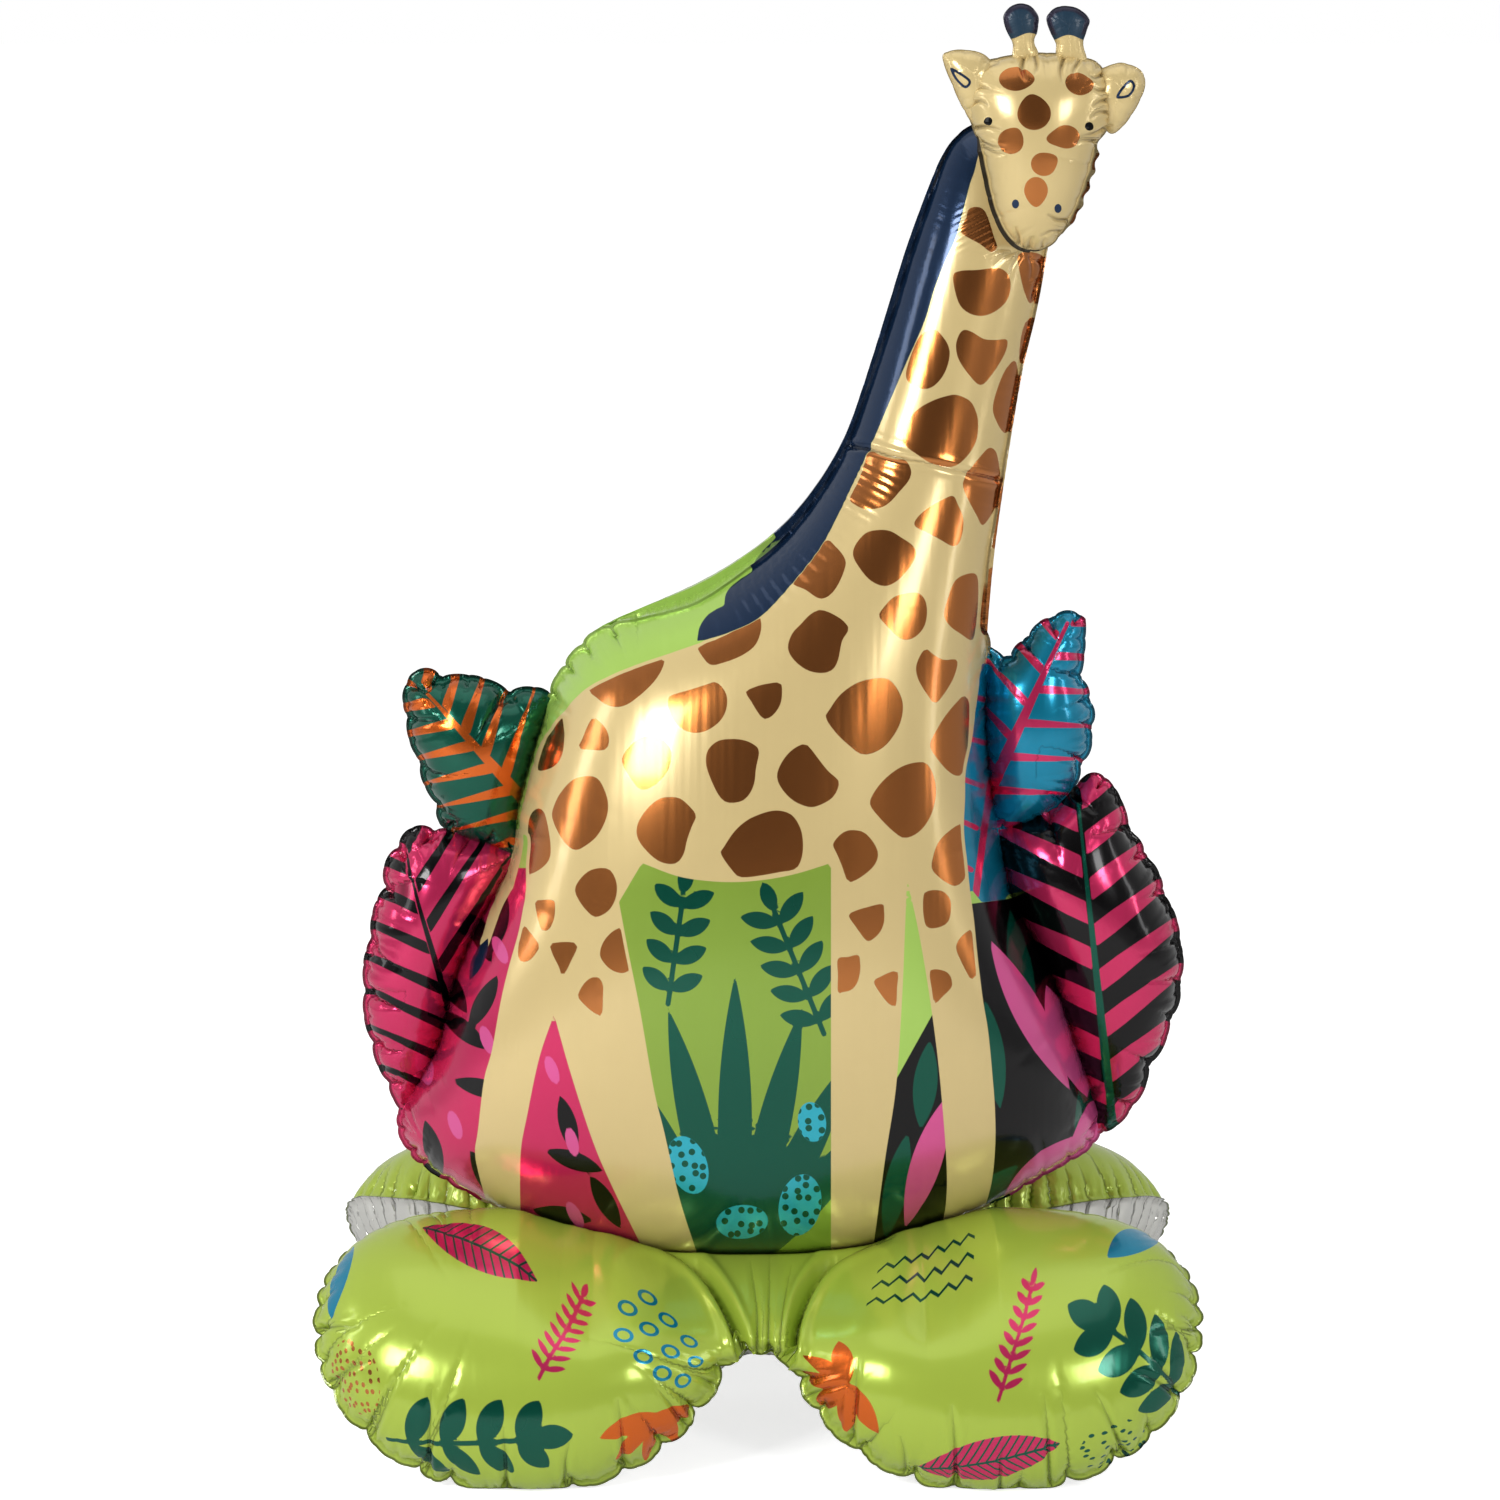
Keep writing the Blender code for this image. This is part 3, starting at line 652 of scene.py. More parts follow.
MANE_BORDER = [
    (984, 130), (975, 169), (970, 184), (962, 215), (955, 240), (945, 262), (934, 290), (925, 320), (912, 350), (904, 368), (884, 415),
    (869, 450), (850, 490), (838, 515), (820, 548), (790, 586), (760, 617), (730, 632), (705, 640),
]
FIGURE_LEFT = [
    (700, 643), (665, 655), (625, 669), (587, 688), (563, 712), (545, 735), (534, 762), (524, 800), (519, 830), (527, 838),
    (526, 865), (526, 884), (525, 895), (519, 930), (508, 970), (500, 1005), (492, 1050), (484, 1080), (478, 1130),
    (475, 1152), (479, 1175), (490, 1215),
]
HIND_GAP = [(521, 1225), (520, 1190), (521, 1149), (527, 1116), (539, 1059), (554, 1014), (570, 1071), (592, 1139), (611, 1184), (641, 1245)]
BELLY = [(700, 1262), (680, 1200), (664, 1131), (654, 1090), (640, 1010), (628, 950), (619, 902), (642, 863), (677, 876), (708, 881), (738, 882), (770, 879), (799, 873), (831, 863), (831, 1262)]
FORE_GAP = [(872, 1258), (885, 1160), (896, 1087), (902, 1000), (905, 930), (907, 878), (920, 939), (932, 1013), (941, 1090), (947, 1182), (941, 1240)]
FIGURE_RIGHT = [
    (975, 1235), (990, 1190), (995, 1150), (995, 1110), (992, 1070), (988, 1030), (983, 1000), (978, 960), (974, 920), (970, 890),
    (967, 860), (964, 830), (965, 800), (966, 770), (972, 740), (977, 700), (982, 664), (1110, 640), (1110, 100), (990, 100),
]
# Patches of the coat, each as a few points round its edge
SPOTS = [
    [(969, 209), (978, 207), (986, 213), (994, 237), (997, 247), (991, 252), (980, 244), (964, 235), (961, 229), (966, 218)],
    [(953, 277), (960, 271), (977, 270), (996, 268), (1005, 271), (1010, 279), (1010, 292), (1005, 303), (994, 312), (981, 316), (967, 312), (958, 301)],
    [(1018, 256), (1030, 252), (1042, 256), (1048, 268), (1044, 280), (1037, 294), (1031, 303), (1027, 299), (1022, 283)],
    [(933, 329), (943, 337), (949, 348), (949, 360), (944, 374), (935, 385), (925, 389), (914, 386), (906, 377), (910, 358), (920, 336)],
    [(964, 330), (972, 332), (984, 339), (996, 340), (1007, 340), (1005, 353), (993, 373), (981, 385), (970, 376), (959, 360), (956, 346), (959, 335)],
    [(1016, 362), (1006, 369), (998, 387), (993, 406), (995, 418), (1003, 432), (1009, 428), (1017, 395)],
    [(957, 395), (947, 396), (932, 401), (917, 410), (907, 422), (902, 436), (906, 446), (918, 455), (931, 463), (950, 467), (961, 462), (971, 451), (977, 438), (978, 422), (976, 412), (970, 401)],
    [(870, 451), (880, 455), (894, 459), (905, 460), (911, 470), (909, 480), (900, 491), (889, 503), (879, 508), (865, 509), (854, 504), (850, 498), (859, 480), (865, 462)],
    [(989, 448), (996, 452), (999, 467), (999, 492), (993, 511), (983, 525), (977, 516), (966, 495), (963, 483), (968, 472), (980, 457)],
    [(953, 496), (958, 505), (963, 517), (963, 530), (959, 543), (952, 546), (941, 540), (928, 533), (915, 526), (917, 518), (928, 508), (942, 500)],
    [(878, 530), (890, 531), (902, 538), (913, 546), (916, 556), (909, 568), (897, 581), (884, 586), (870, 580), (859, 567), (853, 555), (856, 544), (866, 533)],
    [(825, 541), (835, 546), (845, 559), (844, 571), (836, 588), (827, 597), (818, 598), (806, 590), (791, 581), (806, 564)],
    [(908, 593), (918, 593), (925, 600), (927, 613), (924, 627), (915, 637), (905, 640), (897, 636), (886, 625), (879, 616), (884, 607), (894, 597)],
    [(967, 574), (977, 576), (978, 600), (975, 632), (971, 640), (961, 634), (950, 626), (944, 615), (948, 598), (955, 581)],
    [(822, 610), (838, 617), (847, 625), (848, 631), (842, 641), (838, 660), (832, 670), (821, 673), (807, 670), (794, 660), (788, 648), (792, 634), (801, 624), (811, 614)],
    [(746, 692), (755, 687), (766, 684), (780, 683), (782, 693), (780, 705), (773, 715), (765, 719), (759, 714), (751, 701)],
    [(826, 718), (830, 709), (841, 694), (859, 682), (880, 678), (891, 681), (900, 694), (903, 708), (899, 726), (887, 744), (873, 753), (861, 754), (851, 747), (837, 734)],
    [(926, 649), (934, 655), (944, 660), (957, 660), (955, 674), (948, 688), (936, 703), (929, 697), (919, 681), (916, 668), (920, 656)],
    [(964, 696), (969, 703), (969, 724), (967, 752), (963, 771), (958, 776), (948, 771), (936, 757), (930, 745), (936, 731), (946, 715), (957, 702)],
    [(804, 744), (810, 748), (817, 757), (828, 771), (838, 780), (838, 788), (832, 798), (820, 805), (809, 807), (794, 801), (782, 789), (777, 776), (782, 762), (792, 750)],
    [(920, 762), (928, 765), (934, 777), (936, 794), (931, 815), (920, 831), (905, 838), (893, 831), (879, 817), (870, 804), (875, 791), (887, 777), (903, 766)],
    [(782, 811), (793, 816), (801, 830), (803, 846), (801, 860), (795, 869), (780, 872), (757, 876), (740, 877), (732, 870), (721, 854), (724, 847), (734, 832), (746, 821), (758, 815), (771, 811)],
    [(853, 830), (865, 833), (875, 845), (878, 856), (873, 867), (861, 877), (851, 882), (847, 880), (842, 866), (837, 854), (833, 845), (837, 838), (844, 832)],
    [(963, 824), (966, 845), (968, 870), (962, 882), (955, 886), (949, 884), (940, 878), (932, 869), (933, 857), (938, 843), (948, 832)],
    [(697, 645), (712, 641), (728, 634), (742, 626), (753, 618), (760, 618), (761, 630), (756, 644), (746, 653), (734, 659), (722, 663), (712, 665), (705, 660)],
    [(586, 687), (602, 678), (621, 669), (642, 661), (662, 656), (664, 663), (660, 673), (652, 684), (639, 696), (628, 704), (618, 707), (607, 705), (597, 698)],
    [(669, 697), (675, 694), (692, 689), (708, 684), (715, 682), (722, 687), (727, 697), (726, 710), (720, 721), (708, 730), (696, 733), (684, 730), (673, 720), (668, 706)],
    [(560, 711), (563, 722), (564, 737), (563, 751), (559, 761), (551, 768), (538, 770), (541, 755), (547, 737), (552, 722)],
    [(593, 718), (599, 721), (606, 729), (609, 738), (608, 746), (604, 750), (593, 750), (579, 748), (582, 739), (588, 725)],
    [(622, 762), (628, 748), (642, 737), (660, 738), (671, 750), (670, 766), (662, 779), (652, 787), (642, 790), (633, 782)],
    [(731, 739), (743, 740), (753, 744), (759, 751), (756, 768), (754, 784), (748, 796), (739, 802), (726, 802), (718, 794), (710, 777), (706, 763), (708, 750), (718, 741)],
    [(589, 776), (598, 779), (604, 789), (608, 803), (606, 819), (597, 836), (585, 846), (576, 850), (568, 846), (559, 834), (552, 817), (554, 806), (561, 792), (574, 779)],
    [(536, 809), (543, 811), (547, 822), (550, 841), (550, 857), (543, 867), (531, 874), (527, 872), (527, 848), (529, 820)],
    [(671, 797), (681, 799), (691, 808), (696, 816), (692, 826), (687, 840), (684, 853), (678, 862), (669, 864), (657, 860), (644, 848), (637, 836), (638, 823), (647, 809), (659, 799)],
    [(603, 868), (610, 870), (615, 878), (617, 888), (615, 900), (608, 911), (596, 917), (588, 912), (580, 902), (575, 891), (578, 882), (586, 873), (594, 869)],
    [(535, 902), (542, 900), (553, 900), (555, 905), (554, 918), (550, 928), (545, 931), (541, 929), (537, 916)],
    [(524, 926), (529, 931), (539, 945), (536, 953), (530, 960), (523, 962), (519, 959), (518, 951), (520, 936)],
    [(550, 945), (554, 943), (565, 942), (575, 943), (577, 948), (572, 959), (563, 976), (559, 967), (553, 955)],
    [(620, 928), (623, 931), (625, 943), (629, 968), (626, 972), (620, 973), (610, 969), (602, 960), (600, 952), (604, 941), (612, 932)],
    [(595, 977), (600, 979), (603, 986), (603, 996), (602, 1014), (598, 1015), (589, 1009), (580, 1000), (578, 995), (583, 985), (589, 979)],
    [(849, 916), (855, 911), (868, 907), (882, 904), (884, 910), (884, 922), (880, 932), (873, 939), (868, 941), (864, 938), (856, 927)],
    [(924, 894), (928, 891), (936, 890), (944, 892), (950, 899), (951, 907), (950, 917), (946, 924), (936, 928), (927, 927), (924, 918), (923, 906)],
    [(968, 931), (973, 930), (975, 944), (976, 960), (977, 969), (975, 977), (971, 979), (967, 973), (961, 961), (956, 948), (960, 938)],
    [(838, 959), (848, 957), (858, 955), (860, 962), (860, 972), (857, 983), (851, 990), (843, 992), (838, 992), (838, 975)],
    [(897, 971), (897, 988), (896, 1005), (892, 1006), (887, 1002), (880, 993), (874, 982), (880, 977)],
    [(930, 971), (941, 970), (949, 974), (952, 982), (951, 988), (943, 996), (934, 1004), (932, 990)],
    # on the strip of the back sheet that shows beside the neck
    [(1036, 288), (1046, 286), (1042, 306), (1034, 304)],
    [(1025, 323), (1042, 316), (1034, 345), (1027, 368), (1019, 358)],
    [(1017, 376), (1026, 380), (1021, 410), (1013, 424), (1008, 418)],
    [(1001, 489), (1012, 488), (1007, 520), (998, 546), (991, 542)],
    [(986, 573), (998, 573), (995, 610), (988, 634), (980, 626)],
]


def clamp(d):
    return np.clip(d, -FAR, FAR)


def torso_prints(u, v, flat, side):
    ends = np.vstack([smooth_line(lobe) for lobe in (
        [(697, 641), (700, 626), (709, 614), (724, 605)], [(724, 605), (727, 592), (737, 582), (752, 572)], [(752, 572), (754, 563), (763, 551), (776, 538)])])
    mane_ring = np.vstack([smooth_line(MANE_BORDER), ends, [(768, 522), (820, 400), (860, 280), (900, 140), (940, 90)]])
    figure_ring = np.vstack([
        smooth_line(MANE_BORDER[1:]), smooth_line(FIGURE_LEFT), smooth_line(HIND_GAP[:6])[:], smooth_line(HIND_GAP[5:]),
        smooth_line(BELLY[:7]), BELLY[7:8], smooth_line(BELLY[7:14]), BELLY[14:], smooth_line(FORE_GAP[:6]), smooth_line(FORE_GAP[5:]),
        smooth_line(FIGURE_RIGHT[:17]), FIGURE_RIGHT[17:],
    ])
    figure = poly(u, v, figure_ring)
    tail = poly(u, v, smooth_line([(521, 828), (523, 845), (519, 866), (513, 886), (502, 908), (494, 930), (487, 948), (480, 944), (485, 926), (493, 904), (502, 884), (509, 862), (511, 842)], closed=True))
    tip = least(lens_leaf(u, v, 488, 938, 114, 46, 6))
    figure = least(figure, tail)
    spots = least(*[poly(u, v, smooth_line(s, closed=True, pieces=4)) for s in SPOTS])
    mane = poly(u, v, mane_ring)
    # grounds
    pink = clamp(np.maximum(u - 600 - 0.17 * (v - 870), 868 - v))
    window = poly(u, v, [(590, 850), (850, 850), (850, 1280), (690, 1280)])
    dark = poly(u, v, [(893, 1085), (936, 1008), (950, 930), (962, 905), (1150, 880), (1150, 1290), (850, 1290), (872, 1180)])
    blue = poly(u, v, [(950, 600), (1050, 600), (1050, 850), (1020, 880), (1003, 902), (990, 930), (984, 905), (972, 890), (950, 905)])
    # generic plant shapes, in their own layout
    blades = [lens_leaf(u, v, 735 + 3 * k, 1275, -90 + 13.5 * k, 300 - 26 * abs(k), 17) for k in range(-3, 4)]
    for x0, y0, angle, long, pairs, leaf in ((824, 1034, -112, 132, 5, 40), (668, 1004, -82, 112, 4, 36)):
        c, d = math.cos(math.radians(angle)), math.sin(math.radians(angle))
        blades.append(bar(u, v, x0, y0, x0 + long * c, y0 + long * d, 2.6))
        for k in range(pairs):
            t = (k + 0.5) / pairs * long
            blades += [lens_leaf(u, v, x0 + t * c, y0 + t * d, angle + turn, leaf, 8.5) for turn in (-58, 58)]
        blades.append(lens_leaf(u, v, x0 + long * c, y0 + long * d, angle, leaf * 0.8, 8))
    blades = least(*blades)
    pebbles = least(*[blob(u, v, x, y, rx, ry, t) for x, y, rx, ry, t in (
        (688, 1165, 19, 30, 20), (800, 1205, 21, 31, -12), (812, 1122, 14, 20, 10), (742, 1222, 26, 17, 5))])
    fronds = least(*[lens_leaf(u, v, x, y, a, 62, 9) for x, y, a in (
        (470, 905, 70), (440, 1010, 40), (498, 975, 118), (452, 1080, 15), (470, 1150, 60), (425, 1120, 75), (560, 1095, 75),
        (545, 1150, 20), (590, 1175, 60), (532, 1210, 10), (505, 890, 100), (436, 960, 60))])
    drops = least(*[blob(u, v, x, y, 6, 15, t) for x, y, t in ((487, 1040, 20), (455, 1125, 20), (552, 1070, 20), (572, 1142, 15), (575, 1215, 30), (428, 1070, 0), (500, 950, 25))])
    # dark ground: a fan of pink and green blades
    fan_pink = least(*[lens_leaf(u, v, x, y, a, l, 15) for x, y, a, l in (
        (990, 940, 62, 170), (1060, 1190, -62, 150), (905, 1228, -72, 140), (1000, 1205, -40, 110), (1046, 985, 70, 120))])
    fan_green = least(*[lens_leaf(u, v, x, y, a, l, 12) for x, y, a, l in (
        (1010, 910, 80, 130), (1085, 1185, -88, 130), (935, 1235, -40, 110), (885, 1240, -78, 110), (1030, 1215, -25, 90), (985, 1000, 82, 110), (930, 1040, 96, 90))])
    veins = least(bar(u, v, 1010, 640, 975, 900, 3.5), *[bar(u, v, 1000 - 0.13 * k, 650 + k, 955, 640 + k, 2.6) for k in range(10, 260, 42)])
    return dict(
        figure=figure, spots=np.maximum(spots, np.where(v > 640, figure + 3.2, figure + 0.5)), mane=mane, tip=tip, pink=pink, dark=dark, blue=np.maximum(blue, -dark), blades=blades,
        pebbles=pebbles, fronds=np.maximum(fronds, pink), drops=np.maximum(drops, pink), fan_pink=np.maximum(fan_pink, dark),
        fan_green=np.maximum(fan_green, dark), veins=np.maximum(veins, blue), window=window,
    )


def ribbed(u, v, base, tip, ribs, slope, midrib, share, seed=0.0):
    """Generic leaf print: a midrib from base to tip, and paired ribs that lean towards the tip."""
    base, tip = np.array(base, float), np.array(tip, float)
    d = tip - base
    long = np.linalg.norm(d)
    d /= long
    a = (u - base[0]) * d[0] + (v - base[1]) * d[1]
    c = -(u - base[0]) * d[1] + (v - base[1]) * d[0]
    pitch = long / ribs
    x = (a - slope * np.abs(c) - np.where(c > 0, 0.5 * pitch, 0) + seed * pitch) / pitch
    wave = np.abs(x - np.floor(x) - 0.5) * pitch
    taper = np.clip(1.15 - np.abs(c) / (0.48 * long), 0.25, 1)
    rib = (wave - 0.5 * share * pitch * taper) / math.hypot(1, slope)
    rib = np.maximum(rib, 3.0 - np.abs(c))
    mid = np.abs(c) - midrib * np.clip(1.2 - a / long, 0.35, 1)
    mid = np.maximum(mid, a - long)
    return clamp(rib), clamp(mid)


# ---------------------------------------------------------------- materials

def rgb(r, g, b):
    return tuple(((c / 255 + 0.055) / 1.055) ** 2.4 if c > 10 else c / 255 / 12.92 for c in (r, g, b)) + (1.0,)


def foil(name, ground, layers, streak=0.5, flange_shade=0.5, coat=0.32, grain=0.12):
    """Printed metallised film. ground and each layer are (colour, metallic, roughness); a layer also names its print
    and its soft edge in drawn units. The sealed margin is multiplied down by the flange factor, as painted shade along
    the edge."""
    material = bpy.data.materials.new(name)
    material.use_nodes = True
    tree = material.node_tree
    nodes, links = tree.nodes, tree.links
    shader = nodes["Principled BSDF"]
    place = [-1600]

    def node(kind, **settings):
        n = nodes.new(kind)
        place[0] += 40
        n.location = (place[0] % 1600 - 1600, -(place[0] // 1600) * 300)
        for key, value in settings.items():
            setattr(n, key, value)
        return n

    def attribute(key):
        return node("ShaderNodeAttribute", attribute_name=key, attribute_type="GEOMETRY").outputs["Fac"]

    def math_node(op, a, b=None, clamp_it=False):
        n = node("ShaderNodeMath", operation=op, use_clamp=clamp_it)
        for i, x in enumerate((a, b)):
            if x is None:
                continue
            if isinstance(x, (int, float)):
                n.inputs[i].default_value = x
            else:
                links.new(x, n.inputs[i])
        return n.outputs[0]

    colour = node("ShaderNodeRGB").outputs[0]
    colour.default_value = ground[0]
    metal = node("ShaderNodeValue").outputs[0]
    metal.default_value = ground[1]
    rough = node("ShaderNodeValue").outputs[0]
    rough.default_value = ground[2]
    # the ink varies a little over the sheet, as on real film
    where = node("ShaderNodeTexCoord").outputs["Object"]
    cloud = node("ShaderNodeTexNoise")
    cloud.inputs["Scale"].default_value = 7
    cloud.inputs["Detail"].default_value = 3
    links.new(where, cloud.inputs["Vector"])
    for key, tint, met, rgh, soft in layers:
        fac = node("ShaderNodeMapRange", interpolation_type="SMOOTHSTEP")
        fac.inputs["From Min"].default_value = soft
        fac.inputs["From Max"].default_value = -soft
        links.new(attribute(key) if isinstance(key, str) else key(node, links, math_node, attribute), fac.inputs["Value"])
        fac = fac.outputs["Result"]
        mix = node("ShaderNodeMix", data_type="RGBA")
        links.new(fac, mix.inputs["Factor"])
        links.new(colour, mix.inputs[6])
        mix.inputs[7].default_value = tint
        colour = mix.outputs[2]
        for which, value in (("metal", met), ("rough", rgh)):
            m = node("ShaderNodeMix", data_type="FLOAT")
            links.new(fac, m.inputs["Factor"])
            links.new(metal if which == "metal" else rough, m.inputs[2])
            m.inputs[3].default_value = value
            if which == "metal":
                metal = m.outputs[0]
            else:
                rough = m.outputs[0]
    seam = attribute("seam")
    # the sealed margin, where the two films are pressed together: darkened as painted shade along the edge
    on_margin = node("ShaderNodeMapRange")
    on_margin.inputs["From Min"].default_value = -0.2
    on_margin.inputs["From Max"].default_value = -1.6
    links.new(seam, on_margin.inputs["Value"])
    shade = node("ShaderNodeMix", data_type="RGBA", blend_type="MULTIPLY")
    links.new(on_margin.outputs["Result"], shade.inputs["Factor"])
    links.new(colour, shade.inputs[6])
    shade.inputs[7].default_value = (flange_shade, flange_shade, flange_shade, 1)
    # sharp folds: a painted shade line darkens the bottom of each
    from_fold, firm = math_node("ABSOLUTE", attribute("fold")), attribute("firm")
    line = node("ShaderNodeMapRange", interpolation_type="SMOOTHSTEP")
    line.inputs["From Max"].default_value = 1.2
    line.inputs["To Min"].default_value = 1
    line.inputs["To Max"].default_value = 0
    links.new(from_fold, line.inputs["Value"])
    crease_shade = node("ShaderNodeMix", data_type="RGBA", blend_type="MULTIPLY")
    links.new(math_node("MULTIPLY", line.outputs["Result"], firm), crease_shade.inputs["Factor"])
    links.new(shade.outputs[2], crease_shade.inputs[6])
    crease_shade.inputs[7].default_value = (0.36, 0.36, 0.36, 1)
    vary = node("ShaderNodeMix", data_type="RGBA", blend_type="MULTIPLY")
    vary.inputs["Factor"].default_value = 1
    links.new(crease_shade.outputs[2], vary.inputs[6])
    tone = node("ShaderNodeMapRange")
    tone.inputs["To Min"].default_value = 0.94
    tone.inputs["To Max"].default_value = 1.06
    links.new(cloud.outputs["Fac"], tone.inputs["Value"])
    links.new(tone.outputs["Result"], vary.inputs[7])
    links.new(vary.outputs[2], shader.inputs["Base Color"])
    links.new(metal, shader.inputs["Metallic"])
    wear = math_node("MULTIPLY_ADD", cloud.outputs["Fac"], 0.05)
    wear.node.inputs[2].default_value = -0.025
    links.new(math_node("ADD", rough, wear, True), shader.inputs["Roughness"])
    # fine pleats that run in from the seam, and a faint orange peel
    along = attribute("along")
    pleats = None
    for pitch, run, gain in ((2.6, 40.0, 1.0), (5.5, 75.0, 1.6)):
        vector = node("ShaderNodeCombineXYZ")
        links.new(math_node("MULTIPLY", along, 1 / pitch), vector.inputs[0])
        links.new(math_node("MULTIPLY", seam, 1 / run), vector.inputs[1])
        noise = node("ShaderNodeTexNoise")
        noise.inputs["Scale"].default_value = 1
        noise.inputs["Detail"].default_value = 2
        links.new(vector.outputs[0], noise.inputs["Vector"])
        fade = node("ShaderNodeMapRange", interpolation_type="SMOOTHSTEP")
        fade.inputs["From Min"].default_value = 18 if pitch < 4 else 46
        fade.inputs["From Max"].default_value = 0
        fade.inputs["To Max"].default_value = gain
        links.new(seam, fade.inputs["Value"])
        each = math_node("MULTIPLY", noise.outputs["Fac"], fade.outputs["Result"])
        pleats = each if pleats is None else math_node("ADD", pleats, each)
    sharp = node("ShaderNodeMapRange", interpolation_type="SMOOTHSTEP")
    sharp.inputs["From Max"].default_value = 2.4
    sharp.inputs["To Min"].default_value = -1
    sharp.inputs["To Max"].default_value = 0
    links.new(from_fold, sharp.inputs["Value"])
    folded = node("ShaderNodeBump")
    folded.inputs["Strength"].default_value = 1
    folded.inputs["Distance"].default_value = 0.0014
    links.new(math_node("MULTIPLY", sharp.outputs["Result"], firm), folded.inputs["Height"])
    first = node("ShaderNodeBump")
    links.new(folded.outputs["Normal"], first.inputs["Normal"])
    first.inputs["Strength"].default_value = streak
    first.inputs["Distance"].default_value = 0.0007
    links.new(pleats, first.inputs["Height"])
    bands_at = node("ShaderNodeCombineXYZ")
    links.new(math_node("MULTIPLY", attribute("flat_x"), 1 / 11), bands_at.inputs[0])
    links.new(math_node("MULTIPLY", attribute("flat_y"), 1 / 190), bands_at.inputs[1])
    bands = node("ShaderNodeTexNoise")
    bands.inputs["Scale"].default_value = 1
    bands.inputs["Detail"].default_value = 1
    links.new(bands_at.outputs[0], bands.inputs["Vector"])
    rolled = node("ShaderNodeBump")
    rolled.inputs["Strength"].default_value = 1
    rolled.inputs["Distance"].default_value = 0.00032
    links.new(bands.outputs["Fac"], rolled.inputs["Height"])
    links.new(first.outputs["Normal"], rolled.inputs["Normal"])
    film = node("ShaderNodeTexNoise")
    film.inputs["Scale"].default_value = 22
    film.inputs["Detail"].default_value = 1
    links.new(where, film.inputs["Vector"])
    second = node("ShaderNodeBump")
    second.inputs["Strength"].default_value = grain
    second.inputs["Distance"].default_value = 0.0006
    links.new(film.outputs["Fac"], second.inputs["Height"])
    links.new(rolled.outputs["Normal"], second.inputs["Normal"])
    links.new(second.outputs["Normal"], shader.inputs["Normal"])
    shader.inputs["Coat Weight"].default_value = coat
    shader.inputs["Coat Roughness"].default_value = 0.085
    shader.inputs["Specular IOR Level"].default_value = 0.34
    return material


CREAM = (rgb(211, 188, 132), 0.24, 0.24)
COPPER = (rgb(192, 118, 60), 0.95, 0.20)
NAVY = (rgb(20, 44, 74), 0.55, 0.18)
LIME = (rgb(166, 188, 68), 0.24, 0.24)
SHOULDER = (rgb(166, 203, 94), 0.30, 0.24)
LEAFY = (rgb(134, 164, 60), 0.30, 0.24)
DEEP = (rgb(0, 84, 66), 0.62, 0.21)
MAGENTA = (rgb(206, 44, 96), 0.58, 0.20)
PINK = (rgb(218, 86, 150), 0.45, 0.24)
BLACK = (rgb(8, 6, 8), 0.60, 0.20)
BLUE = (rgb(12, 134, 168), 0.60, 0.22)
CYAN = (rgb(46, 174, 196), 0.45, 0.24)
ORANGE = (rgb(218, 102, 32), 0.85, 0.22)
SILVER = (rgb(214, 214, 208), 1.0, 0.20)
KNOB = (rgb(18, 48, 68), 0.10, 0.46)
KNOB_RIM = (rgb(40, 38, 56), 0.5, 0.34)
PUPIL = (rgb(2, 2, 2), 0.9, 0.20)
# dark olive, used as a painted shadow beside the snout
SNOUT_SHADOW = (rgb(74, 60, 30), 0.15, 0.38)


def inside_of(key, mask):
    """A pattern kept to the inside of a printed shape."""
    def build(node, links, math_node, attribute):
        return math_node("MAXIMUM", key(node, links, math_node, attribute), attribute(mask))
    return build


def flecks(pitch, size, ring=0.0, jitter=0.5, long=1.0):
    """Dots, or rings of a line's half width, scattered over the flat sheet (millimetres)."""
    def build(node, links, math_node, attribute):
        vector = node("ShaderNodeCombineXYZ")
        links.new(math_node("DIVIDE", attribute("flat_x"), pitch * long), vector.inputs[0])
        links.new(math_node("DIVIDE", attribute("flat_y"), pitch), vector.inputs[1])
        cells = node("ShaderNodeTexVoronoi", voronoi_dimensions="2D")
        cells.inputs["Scale"].default_value = 1
        cells.inputs["Randomness"].default_value = jitter
        links.new(vector.outputs[0], cells.inputs["Vector"])
        far = math_node("SUBTRACT", math_node("MULTIPLY", cells.outputs["Distance"], pitch), size)
        return math_node("SUBTRACT", math_node("ABSOLUTE", far), ring) if ring else far
    return build


def leaf_ribs(x0, y0, angle, pitch, lean, half):
    """Fine ribs and a midrib for a printed leaf that starts at (x0, y0)."""
    def build(node, links, math_node, attribute):
        c, s = math.cos(math.radians(angle)), math.sin(math.radians(angle))
        x = math_node("SUBTRACT", attribute("flat_x"), x0)
        y = math_node("SUBTRACT", attribute("flat_y"), y0)
        a = math_node("ADD", math_node("MULTIPLY", x, c), math_node("MULTIPLY", y, s))
        b = math_node("ABSOLUTE", math_node("SUBTRACT", math_node("MULTIPLY", y, c), math_node("MULTIPLY", x, s)))
        run = math_node("DIVIDE", math_node("SUBTRACT", a, math_node("MULTIPLY", b, lean)), pitch)
        wave = math_node("MULTIPLY", math_node("ABSOLUTE", math_node("SUBTRACT", math_node("FRACT", run), 0.5)), pitch / math.hypot(1, lean))
        return math_node("MINIMUM", math_node("SUBTRACT", wave, half), math_node("SUBTRACT", b, half * 1.4))
    return build


